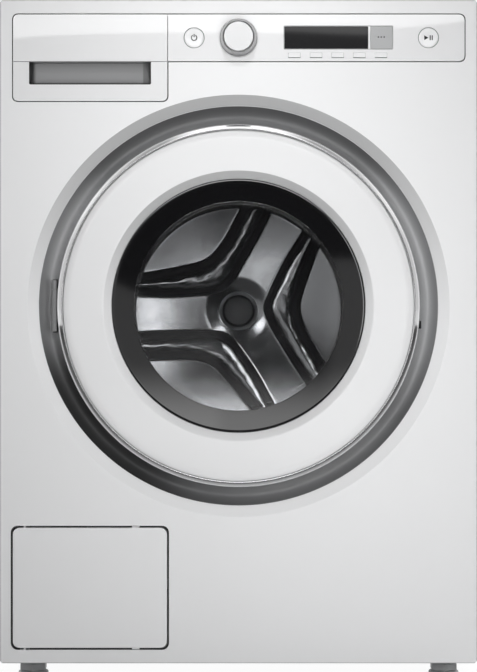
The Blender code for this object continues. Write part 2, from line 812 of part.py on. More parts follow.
def foot_places():
    return [
        (f"foot_{side}_{end}", sign * FOOT_X, depth)
        for end, depth in zip(("front", "rear"), FOOT_DEPTHS)
        for side, sign in (("left", -1), ("right", 1))
    ]


def strut_places():
    return [
        (f"{side}_{end}", sign * STRUT_X, depth)
        for end, depth in zip(("front", "rear"), STRUT_DEPTHS)
        for side, sign in (("left", -1), ("right", 1))
    ]


def base_pan():
    """The floor of the cabinet, with a rim, four threaded bosses for the feet and four strut sockets."""
    half = HALF_WIDTH - SHEET - FIT_GAP
    front = WRAP_FRONT + SHEET + FIT_GAP
    back = WRAP_BACK - SHEET - FIT_GAP
    wall = PAN_FLOOR
    floor = CABINET_FLOOR + wall
    rim_top = CABINET_FLOOR + PAN_RIM
    pan = box("base_pan", (-half, half), (front, back), (CABINET_FLOOR, rim_top))
    inside = box(
        "pan_inside", (-half + wall, half - wall), (front + wall, back - wall), (floor, rim_top + OVERRUN)
    )
    cut(pan, inside)
    for name, x, depth in foot_places():
        join(pan, post(f"{name}_boss", FOOT_BOSS_RADIUS, x, depth, (floor - wall / 2, FOOT_BOSS_TOP), 12))
    for name, x, depth in strut_places():
        join(pan, post(f"{name}_socket", SOCKET_RADIUS, x, depth, (floor - wall / 2, SOCKET_TOP)))
    for name, x, depth in foot_places():
        span = (CABINET_FLOOR - OVERRUN, FOOT_BOSS_TOP + OVERRUN)
        cut(pan, post(f"{name}_hole", FOOT_STUD_RADIUS + FOOT_STUD_GAP, x, depth, span, 12))
    return paint(pan, GREY_PLASTIC)


def door_surround():
    """The dark ring round the door: an outer flange, a cove, a wall and a landing for the door's back."""
    wall = PLASTIC_WALL
    step = (COVE_OUTER_RADIUS - COVE_INNER_RADIUS) / COVE_STEPS
    radii = [COVE_OUTER_RADIUS - step * i for i in range(COVE_STEPS + 1)]
    front = [(radius, cove_depth(radius)) for radius in radii]
    wall_radius = COVE_INNER_RADIUS + wall
    behind = [(radius, cove_depth(radius) + wall) for radius in radii if radius > wall_radius]
    flange_front = SURROUND_FLANGE_DEPTH
    profile = [
        (SURROUND_FLANGE_RADIUS, flange_front),
        (SURROUND_FLANGE_RADIUS, flange_front + wall),
        (COVE_OUTER_RADIUS + wall, flange_front + wall),
        *behind[1:],
        (wall_radius, cove_depth(wall_radius) + wall),
        (wall_radius, LANDING_DEPTH + wall),
        (LANDING_INNER_RADIUS, LANDING_DEPTH + wall),
        (LANDING_INNER_RADIUS, LANDING_DEPTH),
        (COVE_INNER_RADIUS, LANDING_DEPTH),
        *reversed(front),
        (COVE_OUTER_RADIUS + wall / 2, flange_front),
    ]
    surround = turned("door_surround", profile, 0, DOOR_Z)
    for place_name, sign in (("upper", 1), ("lower", -1)):
        near = HINGE_ARM_HALF + HINGE_EAR_GAP
        edges = (sign * (near - HINGE_SLOT_GAP), sign * (near + HINGE_EAR_HEIGHT + HINGE_SLOT_GAP))
        half = HINGE_EAR_WIDTH / 2 + HINGE_SLOT_GAP
        slot = box(
            f"hinge_slot_{place_name}",
            (HINGE_X - half, HINGE_X + half),
            (COVE_INNER_DEPTH - OVERRUN, LANDING_DEPTH + wall + OVERRUN),
            (DOOR_Z + min(edges), DOOR_Z + max(edges)),
        )
        cut(surround, slot)
    middle = DOOR_Z - GRIP_NOTCH_DROP
    hook_slot = box(
        "hook_slot",
        (LOCK_SLOT_LEFT, LOCK_SLOT_RIGHT),
        (LANDING_DEPTH - OVERRUN, LANDING_DEPTH + wall + OVERRUN),
        (middle - LOCK_SLOT_HALF, middle + LOCK_SLOT_HALF),
    )
    notch = box(
        "grip_notch",
        (GRIP_NOTCH_LEFT, GRIP_NOTCH_LEFT + GRIP_NOTCH_WIDTH),
        (COVE_INNER_DEPTH - OVERRUN, COVE_INNER_DEPTH + GRIP_NOTCH_DEPTH),
        (middle - GRIP_NOTCH_HEIGHT / 2, middle + GRIP_NOTCH_HEIGHT / 2),
    )
    cut(surround, hook_slot, notch)
    return paint(surround, DARK_GREY)


def hinge_bracket():
    """A plate behind the surround, two ears through its slots, and the pin that the door turns on."""
    back = LANDING_DEPTH + PLASTIC_WALL + FIT_GAP
    bracket = box(
        "hinge_bracket",
        (HINGE_PLATE_LEFT, HINGE_PLATE_RIGHT),
        (back, back + HINGE_PLATE),
        (DOOR_Z - HINGE_PLATE_HALF, DOOR_Z + HINGE_PLATE_HALF),
    )
    near = HINGE_ARM_HALF + HINGE_EAR_GAP
    far = near + HINGE_EAR_HEIGHT
    for place_name, low, high in (("upper", near, far), ("lower", -far, -near)):
        heights = (DOOR_Z + low, DOOR_Z + high)
        ear = box(
            f"hinge_ear_{place_name}",
            (HINGE_X - HINGE_EAR_WIDTH / 2, HINGE_X + HINGE_EAR_WIDTH / 2),
            (HINGE_DEPTH, back + HINGE_PLATE / 2),
            heights,
        )
        barrel = post(
            f"hinge_knuckle_{place_name}", HINGE_BARREL_RADIUS, HINGE_X, HINGE_DEPTH, heights, 12
        )
        join(bracket, ear, barrel)
    inside = HINGE_EAR_HEIGHT / 2
    span = (DOOR_Z - near - inside, DOOR_Z + near + inside)
    join(bracket, post("hinge_pin", HINGE_PIN_RADIUS, HINGE_X, HINGE_DEPTH, span, 8))
    return paint(bracket, DARK_GREY)


def door_lock():
    """The lock behind the surround, with the slot that takes the door's hook."""
    front = LANDING_DEPTH + PLASTIC_WALL + FIT_GAP
    middle = DOOR_Z - GRIP_NOTCH_DROP
    lock = box(
        "door_lock",
        (LOCK_LEFT, LOCK_RIGHT),
        (front, front + LOCK_DEPTH),
        (middle - LOCK_HALF, middle + LOCK_HALF),
    )
    soften(lock)
    slot = box(
        "lock_slot",
        (LOCK_SLOT_LEFT, LOCK_SLOT_RIGHT),
        (front - OVERRUN, front + LOCK_SLOT_DEPTH),
        (middle - LOCK_SLOT_HALF, middle + LOCK_SLOT_HALF),
    )
    cut(lock, slot)
    return paint(lock, GREY_PLASTIC)


def option_places():
    return [OPTION_FIRST_X + OPTION_PITCH * i for i in range(OPTION_COUNT)]


def control_fascia():
    gap = BUTTON_GAP
    outline = rounded(
        rectangle(FASCIA_LEFT, FASCIA_RIGHT, FASCIA_BOTTOM, FASCIA_TOP), FASCIA_ROUND, square=(0, 3)
    )
    holes = [
        circle(POWER_X, BUTTON_Z, BUTTON_RADIUS + gap, MEDIUM_SEGMENTS),
        circle(START_X, BUTTON_Z, BUTTON_RADIUS + gap, MEDIUM_SEGMENTS),
        circle(0, KNOB_Z, KNOB_SHAFT_RADIUS + gap, SMALL_SEGMENTS),
        rectangle(DISPLAY_LEFT - gap, DISPLAY_RIGHT + gap, DISPLAY_BOTTOM - gap, DISPLAY_TOP + gap),
        rectangle(EXTRAS_LEFT - gap, EXTRAS_RIGHT + gap, DISPLAY_BOTTOM - gap, DISPLAY_TOP + gap),
    ]
    half_width, half_height = OPTION_WIDTH / 2 + gap, OPTION_HEIGHT / 2 + gap
    for x in option_places():
        holes.append(
            rectangle(x - half_width, x + half_width, OPTION_Z - half_height, OPTION_Z + half_height)
        )
    return paint(plate("control_fascia", [outline, *holes], 0, FASCIA_THICKNESS), GLOSS_WHITE)


def display_window():
    window = box(
        "display_window",
        (DISPLAY_LEFT, DISPLAY_RIGHT),
        (-BUTTON_STAND / 2, FASCIA_THICKNESS),
        (DISPLAY_BOTTOM, DISPLAY_TOP),
    )
    return paint(window, BLACK_GLASS)


def control_board():
    board = box(
        "control_board",
        (BOARD_LEFT, BOARD_RIGHT),
        (BOARD_DEPTH, BOARD_DEPTH + BOARD_THICKNESS),
        (BOARD_BOTTOM, BOARD_TOP),
    )
    for i, x in enumerate(STANDOFF_PLACES):
        span = (FASCIA_THICKNESS + FIT_GAP, BOARD_DEPTH + BOARD_THICKNESS / 2)
        join(board, cylinder(f"standoff_{i}", STANDOFF_RADIUS, x, KNOB_Z, span, 8))
    half = BOARD_CHIP_SIZE / 2
    back = BOARD_DEPTH + BOARD_THICKNESS
    for i, x in enumerate(BOARD_CHIP_PLACES):
        chip = box(
            f"chip_{i}",
            (x - half, x + half),
            (back - BOARD_THICKNESS / 2, back + BOARD_CHIP_HEIGHT),
            (KNOB_Z - half, KNOB_Z + half),
        )
        join(board, chip)
    return paint(board, BOARD_GREEN)


def round_button(name, x):
    """A pressed button: a disc that fills its hole in the fascia, on a stem towards the board."""
    back = BUTTON_HEIGHT - BUTTON_STAND
    profile = [
        (0, -BUTTON_STAND),
        (BUTTON_RADIUS, -BUTTON_STAND),
        (BUTTON_RADIUS, back),
        (BUTTON_STEM_RADIUS, back),
        (BUTTON_STEM_RADIUS, back + BUTTON_STEM),
        (0, back + BUTTON_STEM),
    ]
    button = turned(name, profile, x, BUTTON_Z, closed=False, segments=MEDIUM_SEGMENTS)
    return paint(button, GLOSS_WHITE)


def key(name, x, z, finish):
    """A rectangular key that fills its hole in the fascia."""
    return paint(box(name, x, (-BUTTON_STAND, BUTTON_HEIGHT), z), finish)


def programme_knob():
    front = -KNOB_STAND
    ring = turned(
        "knob_ring",
        [
            (KNOB_TOP_RADIUS, front + KNOB_SHOULDER),
            (KNOB_TOP_RADIUS + KNOB_SHOULDER, front + KNOB_SHOULDER + KNOB_LIFT),
            (KNOB_BASE_RADIUS, -KNOB_LIFT - KNOB_SKIRT_STEP),
            (KNOB_BASE_RADIUS, -KNOB_LIFT),
            (KNOB_CAP_RADIUS + FIT_GAP, -KNOB_LIFT),
            (KNOB_CAP_RADIUS + FIT_GAP, front + KNOB_SHOULDER),
        ],
        0,
        KNOB_Z,
        segments=MEDIUM_SEGMENTS,
    )
    cap = turned(
        "knob_cap",
        [
            (0, front),
            (KNOB_CAP_RADIUS - KNOB_CAP_ROUND, front),
            (KNOB_CAP_RADIUS, front + KNOB_CAP_ROUND),
            (KNOB_CAP_RADIUS, -KNOB_CAP_BACK),
            (KNOB_SHAFT_RADIUS, -KNOB_CAP_BACK),
            (KNOB_SHAFT_RADIUS, BOARD_DEPTH - RUN_GAP),
            (0, BOARD_DEPTH - RUN_GAP),
        ],
        0,
        KNOB_Z,
        closed=False,
        segments=MEDIUM_SEGMENTS,
    )
    paint(ring, SATIN_SILVER)
    paint(cap, GLOSS_WHITE)
    carry(axis_empty("knob_turn_axis", 0, 0, KNOB_Z), ring, cap)


def controls():
    control_fascia()
    display_window()
    control_board()
    programme_knob()
    for name, x in (("power_button", POWER_X), ("start_button", START_X)):
        carry(axis_empty(f"{name}_press_axis", x, 0, BUTTON_Z), round_button(name, x))
    extras = key("extras_button", (EXTRAS_LEFT, EXTRAS_RIGHT), (DISPLAY_BOTTOM, DISPLAY_TOP), GREY_KEY)
    carry(axis_empty("extras_press_axis", (EXTRAS_LEFT + EXTRAS_RIGHT) / 2, 0, BUTTON_Z), extras)
    for number, x in enumerate(option_places(), start=1):
        span = (x - OPTION_WIDTH / 2, x + OPTION_WIDTH / 2)
        heights = (OPTION_Z - OPTION_HEIGHT / 2, OPTION_Z + OPTION_HEIGHT / 2)
        option = key(f"option_button_{number}", span, heights, GLOSS_WHITE)
        carry(axis_empty(f"option_{number}_press_axis", x, 0, OPTION_Z), option)


def drawer_front():
    """The drawer's face, with a recess below a lip that the fingers pull behind."""
    outline = rounded(rectangle(DRAWER_LEFT, DRAWER_RIGHT, DRAWER_BOTTOM, DRAWER_TOP), DRAWER_ROUND)
    front = plate("drawer_front", [outline], 0, DRAWER_THICKNESS)
    recess = box(
        "grip_recess", (GRIP_LEFT, GRIP_RIGHT), (-OVERRUN, GRIP_DEPTH), (GRIP_BOTTOM, GRIP_TOP)
    )
    undercut = box(
        "grip_undercut",
        (GRIP_LEFT, GRIP_RIGHT),
        (GRIP_LIP, GRIP_DEPTH),
        (GRIP_TOP - GRIP_LINE, GRIP_TOP + GRIP_UNDERCUT),
    )
    line = box(
        "grip_line",
        (DRAWER_LEFT - OVERRUN, DRAWER_RIGHT + OVERRUN),
        (-OVERRUN, GRIP_LINE),
        (GRIP_TOP - GRIP_LINE, GRIP_TOP),
    )
    cut(front, recess, undercut, line)
    return paint(front, GLOSS_WHITE)


def drawer_tray():
    left, right = DRAWER_LEFT + TRAY_SIDE_INSET, DRAWER_RIGHT - TRAY_SIDE_INSET
    front = DRAWER_THICKNESS + FIT_GAP
    back = front + TRAY_LENGTH
    top = TRAY_FLOOR_Z + TRAY_HEIGHT
    tray = box("drawer_tray", (left, right), (front, back), (TRAY_FLOOR_Z, top))
    inner_left = left + TRAY_WALL / 2
    inner_width = right - left - TRAY_WALL
    for i, (start, end) in enumerate(TRAY_POCKET_SHARES):
        pocket_left = inner_left + inner_width * start + TRAY_WALL / 2
        pocket_right = inner_left + inner_width * end - TRAY_WALL / 2
        pocket = box(
            f"tray_pocket_{i}",
            (pocket_left, pocket_right),
            (front + TRAY_WALL, back - TRAY_WALL),
            (TRAY_FLOOR_Z + TRAY_WALL, top + OVERRUN),
        )
        cut(tray, pocket)
    return paint(tray, WHITE_PLASTIC)


def dispenser_housing():
    """The box that the drawer's tray slides in. Its front is open and its back takes the valve's pipe."""
    wall = PLASTIC_WALL
    left = DRAWER_LEFT + TRAY_SIDE_INSET - HOUSING_SIDE_GAP
    right = DRAWER_RIGHT - TRAY_SIDE_INSET + HOUSING_SIDE_GAP
    front = DRAWER_THICKNESS + PANEL_SEAM
    floor = TRAY_FLOOR_Z - RUN_GAP
    housing = box(
        "dispenser_housing",
        (left - wall, right + wall),
        (front, front + HOUSING_LENGTH),
        (floor - wall, HOUSING_TOP),
    )
    inside = box(
        "housing_inside",
        (left, right),
        (front - OVERRUN, front + HOUSING_LENGTH - wall),
        (floor, HOUSING_TOP - wall),
    )
    cut(housing, inside)
    return paint(housing, WHITE_PLASTIC)


def filter_flap():
    outline = rounded(rectangle(FLAP_LEFT, FLAP_RIGHT, FLAP_BOTTOM, FLAP_TOP), FLAP_ROUND)
    flap = plate("filter_flap", [outline], 0, FLAP_THICKNESS)
    hinge_x = FLAP_LEFT + FLAP_HINGE_INSET
    half = FLAP_CLIP_WIDTH / 2
    for side, edge, outward in (("top", FLAP_TOP, 1), ("bottom", FLAP_BOTTOM, -1)):
        root = edge - outward * OVERRUN
        pin_tip = edge + outward * FLAP_PIN_REACH
        clip_tip = edge + outward * FLAP_CLIP_REACH
        pin_span = (min(root, pin_tip), max(root, pin_tip))
        clip_span = (min(root, clip_tip), max(root, clip_tip))
        pin = post(f"flap_pin_{side}", FLAP_PIN_RADIUS, hinge_x, FLAP_HINGE_DEPTH, pin_span, 12)
        clip = box(
            f"flap_clip_{side}",
            (FLAP_CLIP_X - half, FLAP_CLIP_X + half),
            (FLAP_THICKNESS / 4, FLAP_THICKNESS / 2),
            clip_span,
        )
        join(flap, pin, clip)
    return paint(flap, ENAMEL)


def pipe_bore(name, radius, x, z):
    """The bore in the end of a pipe that stands out behind the cabinet."""
    end = CABINET_DEPTH + SPIGOT_STAND
    return cylinder(name, radius, x, z, (end - PIPE_BORE_DEPTH, end + OVERRUN))


def drain_pump():
    """The filter's housing, the volute, the pump's motor, the inlet pipe and the drain pipe, in one piece."""
    back = FILTER_FRONT + FILTER_HOUSING_LENGTH
    volute_back = back + VOLUTE_LENGTH
    motor_back = volute_back + PUMP_MOTOR_LENGTH
    pump = cylinder(
        "drain_pump", FILTER_HOUSING_RADIUS, PUMP_X, PUMP_Z, (FILTER_FRONT, back + SHEET), MEDIUM_SEGMENTS
    )
    volute = cylinder("pump_volute", VOLUTE_RADIUS, PUMP_X, PUMP_Z, (back, volute_back), MEDIUM_SEGMENTS)
    motor = cylinder("pump_motor", PUMP_MOTOR_RADIUS, PUMP_X, PUMP_Z, (volute_back - SHEET, motor_back))
    floor = CABINET_FLOOR + PAN_FLOOR + FIT_GAP
    foot = box(
        "pump_foot",
        (PUMP_X - PUMP_FOOT_HALF, PUMP_X + PUMP_FOOT_HALF),
        (FILTER_FRONT + FILTER_HOUSING_LENGTH / 2, volute_back - OVERRUN),
        (floor, PUMP_Z - FILTER_BORE_RADIUS - OVERRUN),
    )
    inlet_z = PUMP_Z - PUMP_INLET_RADIUS / 2
    inlet = cylinder("pump_inlet", PUMP_ARM_RADIUS, 0, 0, (0, SUMP_SPIGOT_X - PUMP_X))
    inlet.location = ((PUMP_X + SUMP_SPIGOT_X) / 2, at_depth(SUMP_SPIGOT_DEPTH), inlet_z)
    inlet.rotation_euler = (0, math.pi / 2, 0)
    riser_span = (inlet_z - PUMP_INLET_RADIUS / 2, PUMP_INLET_TOP)
    riser = post("pump_riser", PUMP_INLET_RADIUS, SUMP_SPIGOT_X, SUMP_SPIGOT_DEPTH, riser_span)
    drain = cylinder(
        "drain_pipe", DRAIN_RADIUS, PUMP_X, DRAIN_Z, (motor_back - OVERRUN, CABINET_DEPTH + SPIGOT_STAND)
    )
    bore_span = (FILTER_FRONT - OVERRUN, back - SHEET)
    bore = cylinder("filter_bore", FILTER_BORE_RADIUS, PUMP_X, PUMP_Z, bore_span, MEDIUM_SEGMENTS)
    join(pump, volute, motor, foot, inlet, riser, drain)
    cut(pump, bore, pipe_bore("drain_pipe_bore", DRAIN_BORE_RADIUS, PUMP_X, DRAIN_Z))
    return paint(pump, GREY_PLASTIC)


def pump_filter():
    cap_front = FILTER_FRONT - FIT_GAP - FILTER_CAP
    back = FILTER_FRONT - FIT_GAP + FILTER_BODY_LENGTH
    profile = [
        (0, cap_front),
        (FILTER_CAP_RADIUS, cap_front),
        (FILTER_CAP_RADIUS, cap_front + FILTER_CAP),
        (FILTER_BODY_RADIUS, cap_front + FILTER_CAP),
        (FILTER_BODY_RADIUS, back),
        (0, back),
    ]
    cap = turned("pump_filter", profile, PUMP_X, PUMP_Z, closed=False, segments=MEDIUM_SEGMENTS)
    grip = box(
        "filter_grip",
        (PUMP_X - FILTER_GRIP_LENGTH / 2, PUMP_X + FILTER_GRIP_LENGTH / 2),
        (cap_front - FILTER_GRIP_STAND, cap_front + FILTER_CAP / 2),
        (PUMP_Z - FILTER_GRIP_WIDTH / 2, PUMP_Z + FILTER_GRIP_WIDTH / 2),
    )
    join(cap, grip)
    return paint(cap, DARK_GREY)


def inlet_valve():
    """The valve inside the back wall, its spigot for a hose outside, and its pipe to the dispenser."""
    flange_back = WRAP_BACK - SHEET - FIT_GAP
    half_flange = VALVE_FLANGE_SIDE / 2
    valve = box(
        "inlet_valve",
        (VALVE_X - half_flange, VALVE_X + half_flange),
        (flange_back - VALVE_FLANGE, flange_back),
        (VALVE_Z - half_flange, VALVE_Z + half_flange),
    )
    half = VALVE_BODY / 2
    body = box(
        "valve_body",
        (VALVE_X - half, VALVE_X + half),
        (flange_back - VALVE_LENGTH, flange_back - VALVE_FLANGE / 2),
        (VALVE_Z - half, VALVE_Z + half),
    )
    spigot_span = (flange_back - VALVE_FLANGE / 2, CABINET_DEPTH + SPIGOT_STAND)
    spigot = cylinder("valve_spigot", VALVE_SPIGOT_RADIUS, VALVE_X, VALVE_Z, spigot_span)
    housing_back = DRAWER_THICKNESS + PANEL_SEAM + HOUSING_LENGTH
    pipe_span = (housing_back + FIT_GAP, flange_back - VALVE_LENGTH + OVERRUN)
    pipe = cylinder("valve_pipe", VALVE_PIPE_RADIUS, VALVE_X, VALVE_Z, pipe_span, 12)
    join(valve, body, spigot, pipe)
    cut(valve, pipe_bore("valve_spigot_bore", VALVE_BORE_RADIUS, VALVE_X, VALVE_Z))
    return paint(valve, WHITE_PLASTIC)


def strut_tube(name, x, depth):
    """A damper's outer tube, closed at its foot, which stands in a socket of the base pan."""
    foot_z = SOCKET_TOP + FIT_GAP
    inside_z = foot_z + PLASTIC_WALL
    profile = [
        (0, inside_z),
        (STRUT_BORE, inside_z),
        (STRUT_BORE, STRUT_TOP),
        (STRUT_RADIUS, STRUT_TOP),
        (STRUT_RADIUS, foot_z),
        (0, foot_z),
    ]
    tube = turned_upright(f"strut_tube_{name}", profile, x, depth, closed=False)
    return paint(tube, GREY_PLASTIC)


def foot(name, x, depth):
    """A screwed foot: a hexagon that a spanner turns, on a round pad, with its threaded stud."""
    chamfer = FOOT_CHAMFER
    hexagon = [
        (0, FOOT_HEX_TOP),
        (FOOT_HEX_RADIUS, FOOT_HEX_TOP),
        (FOOT_HEX_RADIUS, FOOT_HEX_BOTTOM),
        (FOOT_HEX_RADIUS - chamfer, FOOT_HEX_BOTTOM - chamfer),
        (0, FOOT_HEX_BOTTOM - chamfer),
    ]
    piece = turned_upright(name, hexagon, x, depth, closed=False, segments=6)
    pad = [
        (0, FOOT_HEX_BOTTOM),
        (FOOT_NECK_RADIUS, FOOT_HEX_BOTTOM),
        (FOOT_NECK_RADIUS, FOOT_PAD_TOP + chamfer),
        (FOOT_PAD_RADIUS - chamfer, FOOT_PAD_TOP),
        (FOOT_PAD_RADIUS, FOOT_PAD_TOP - chamfer),
        (FOOT_PAD_RADIUS, 0),
        (0, 0),
    ]
    join(piece, turned_upright(f"{name}_pad", pad, x, depth, closed=False))
    join(piece, post(f"{name}_stud", FOOT_STUD_RADIUS, x, depth, (FOOT_HEX_BOTTOM, FOOT_STUD_TOP), 12))
    paint(piece, GREY_PLASTIC)
    carry(axis_empty(f"{name}_screw_axis", x, depth, 0), piece)


def door():
    chrome = turned(
        "chrome_ring",
        [
            (CHROME_RADIUS - CHROME_ROUND, -CHROME_STAND),
            (CHROME_RADIUS, -CHROME_STAND + CHROME_ROUND),
            (CHROME_RADIUS, CHROME_BACK),
            (CHROME_INNER_RADIUS, CHROME_BACK),
            (CHROME_INNER_RADIUS, -CHROME_STAND + CHROME_ROUND),
            (CHROME_INNER_RADIUS + CHROME_ROUND, -CHROME_STAND),
        ],
        0,
        DOOR_Z,
    )
    face = -PANEL_STAND
    cone_end = face + CONE_DEPTH
    panel = turned(
        "door_panel",
        [
            (PANEL_RADIUS - PANEL_ROLL_WIDTH, face),
            (PANEL_RADIUS, face + PANEL_ROLL_DEPTH),
            (PANEL_RADIUS, PANEL_BACK),
            (CONE_OUTER_RADIUS + PANEL_WALL, PANEL_BACK),
            (CONE_INNER_RADIUS + SKIRT_WIDTH, cone_end + SKIRT_DEPTH),
            (CONE_INNER_RADIUS, cone_end + SKIRT_DEPTH),
            (CONE_INNER_RADIUS, cone_end),
            (CONE_OUTER_RADIUS, face),
        ],
        0,
        DOOR_Z,
    )
    glass_back = WINDOW_RECESS + WINDOW_THICKNESS
    window = turned(
        "door_window",
        [(0, WINDOW_RECESS), (WINDOW_RADIUS, WINDOW_RECESS), (WINDOW_RADIUS, glass_back), (0, glass_back)],
        0,
        DOOR_Z,
        closed=False,
    )
    paint(chrome, CHROME)
    paint(panel, GLOSS_WHITE)
    paint(window, WINDOW_GLASS)
    pieces = [chrome, panel, window, door_frame(), door_bowl(), hinge_arm(), latch_hook()]
    carry(axis_empty("door_hinge_axis", HINGE_X, HINGE_DEPTH, DOOR_Z), *pieces)


def frame_shelf():
    return WINDOW_RECESS + WINDOW_THICKNESS + FIT_GAP


def bowl_seat():
    return frame_shelf() + PLASTIC_WALL


def door_frame():
    """The structural ring behind the door's panel. It carries the glass in front and the bowl behind."""
    rim = CHROME_RADIUS - FRAME_RIM_INSET
    rim_front = CHROME_BACK + FIT_GAP
    rim_back = rim_front + FRAME_RIM_THICKNESS
    skirt_end = -PANEL_STAND + CONE_DEPTH + SKIRT_DEPTH + RUN_GAP
    skirt_radius = CONE_INNER_RADIUS + SKIRT_WIDTH
    seat_radius = BOWL_FLANGE_RADIUS + RUN_GAP
    seat = bowl_seat()
    profile = [
        (rim, rim_front),
        (rim, rim_back),
        (FRAME_RADIUS, rim_back),
        (FRAME_RADIUS, FRAME_BACK),
        (seat_radius, FRAME_BACK),
        (seat_radius, seat),
        (FRAME_SHELF_RADIUS, seat),
        (FRAME_SHELF_RADIUS, frame_shelf()),
        (WINDOW_RADIUS + RUN_GAP, frame_shelf()),
        (WINDOW_RADIUS + RUN_GAP * 2, skirt_end),
        (skirt_radius + RUN_GAP, skirt_end),
        (CONE_OUTER_RADIUS + PANEL_WALL + RUN_GAP, rim_front),
    ]
    return paint(turned("door_frame", profile, 0, DOOR_Z, segments=TUB_SEGMENTS), DARK_GREY)


def door_bowl():
    """The moulded glass bowl that reaches through the gasket."""
    front = bowl_seat() + FIT_GAP
    neck = front + BOWL_FLANGE
    outside = [(BOWL_NECK_RADIUS * wide, neck + BOWL_DEPTH * deep) for wide, deep in BOWL_SHARES]
    inside = [(radius - BOWL_WALL, depth - BOWL_WALL) for radius, depth in outside[1:]]
    tip = neck + BOWL_DEPTH
    profile = [
        (0, tip - BOWL_WALL),
        *reversed(inside),
        (BOWL_NECK_RADIUS - BOWL_WALL, front),
        (BOWL_FLANGE_RADIUS, front),
        (BOWL_FLANGE_RADIUS, neck),
        *outside,
        (0, tip),
    ]
    bowl = turned("door_bowl", profile, 0, DOOR_Z, closed=False, segments=TUB_SEGMENTS)
    return paint(bowl, WINDOW_GLASS)


def hinge_arm():
    """The arm on the door's left: a leaf under the rim, a tab along the frame and a barrel on the pin."""
    leaf_back = HINGE_LEAF_DEPTH + HINGE_LEAF
    heights = (DOOR_Z - HINGE_ARM_HALF, DOOR_Z + HINGE_ARM_HALF)
    tab_right = -FRAME_RADIUS - FIT_GAP
    arm = box("hinge_arm", (HINGE_X, tab_right), (HINGE_LEAF_DEPTH, leaf_back), heights)
    tab = box("hinge_tab", (tab_right - HINGE_TAB_WIDTH, tab_right), (HINGE_LEAF_DEPTH, FRAME_BACK), heights)
    barrel = post("hinge_barrel", HINGE_BARREL_RADIUS, HINGE_X, HINGE_DEPTH, heights, 12)
    bore_span = (heights[0] - OVERRUN, heights[1] + OVERRUN)
    bore = post("hinge_bore", HINGE_PIN_RADIUS + HINGE_BORE_GAP, HINGE_X, HINGE_DEPTH, bore_span, 12)
    join(arm, tab, barrel)
    cut(arm, bore)
    return paint(arm, DARK_GREY)


def latch_hook():
    """The hook on the back of the door frame that the lock catches."""
    middle = DOOR_Z - GRIP_NOTCH_DROP
    heights = (middle - HOOK_HALF, middle + HOOK_HALF)
    front = FRAME_BACK + FIT_GAP
    back = front + HOOK_REACH
    stem = (HOOK_LEFT, HOOK_LEFT + HOOK_STEM)
    hook = box("latch_hook", stem, (front, back), heights)
    tip = box("hook_tip", (HOOK_LEFT, stem[1] + HOOK_TIP), (back - HOOK_TIP_DEPTH, back), heights)
    join(hook, tip)
    return paint(hook, GALVANISED)


def tub():
    """The welded shell that holds the water: a cylinder, a sump below it, a hub behind and two motor ears."""
    front, back = TUB_FRONT, TUB_BACK
    wall = TUB_WALL
    shell = cylinder("tub", TUB_RADIUS, 0, DOOR_Z, (front, back), TUB_SEGMENTS)
    half = SUMP_HALF_WIDTH
    sump = box("tub_sump", (-half, half), (SUMP_FRONT, SUMP_BACK), (SUMP_BOTTOM, SUMP_TOP))
    hub = cylinder("tub_hub", HUB_RADIUS, 0, DOOR_Z, (back - wall / 2, back + HUB_LENGTH), MEDIUM_SEGMENTS)
    join(shell, sump, hub)
    ear_half = MOTOR_EAR_WIDTH / 2
    for i, depth in enumerate(MOTOR_EAR_DEPTHS):
        ear = box(
            f"motor_ear_{i}",
            (MOTOR_X - ear_half, MOTOR_X + ear_half),
            (depth, depth + MOTOR_EAR),
            (MOTOR_EAR_BOTTOM, MOTOR_EAR_TOP),
        )
        join(shell, ear)
    spigot_span = (SUMP_BOTTOM - SUMP_SPIGOT_REACH, SUMP_BOTTOM + wall / 2)
    spigot = post("sump_spigot", SUMP_SPIGOT_RADIUS, SUMP_SPIGOT_X, SUMP_SPIGOT_DEPTH, spigot_span)
    join(shell, spigot)
    water = cylinder("tub_inside", TUB_RADIUS - wall, 0, DOOR_Z, (front + wall, back - wall), TUB_SEGMENTS)
    pit = box(
        "sump_inside",
        (-half + wall, half - wall),
        (SUMP_FRONT + wall, SUMP_BACK - wall),
        (SUMP_BOTTOM + wall, SUMP_TOP + OVERRUN),
    )
    mouth_span = (front - OVERRUN, front + wall + OVERRUN)
    mouth = cylinder("tub_mouth", TUB_MOUTH_RADIUS, 0, DOOR_Z, mouth_span, TUB_SEGMENTS)
    bore_span = (back - wall - OVERRUN, back + HUB_LENGTH + OVERRUN)
    bore = cylinder("bearing_bore", SHAFT_RADIUS + SHAFT_GAP, 0, DOOR_Z, bore_span, MEDIUM_SEGMENTS)
    outlet_span = (spigot_span[0] - OVERRUN, SUMP_BOTTOM + wall + OVERRUN)
    outlet = post("sump_outlet", SUMP_SPIGOT_BORE, SUMP_SPIGOT_X, SUMP_SPIGOT_DEPTH, outlet_span)
    cut(shell, water, pit, mouth, bore, outlet)
    for i, x in enumerate((-HEATER_HALF_SPACING, HEATER_HALF_SPACING)):
        span = (SUMP_BACK - wall - OVERRUN, SUMP_BACK + OVERRUN)
        cut(shell, cylinder(f"heater_hole_{i}", HEATER_ROD_RADIUS + RUN_GAP, x, HEATER_Z, span, 12))
    for i, depth in enumerate(MOTOR_EAR_DEPTHS):
        span = (depth - OVERRUN, depth + MOTOR_EAR + OVERRUN)
        hole = cylinder(f"ear_hole_{i}", MOTOR_BOLT_RADIUS + RUN_GAP, MOTOR_X, MOTOR_BOLT_Z, span, 12)
        cut(shell, hole)
    return paint(shell, STAINLESS)


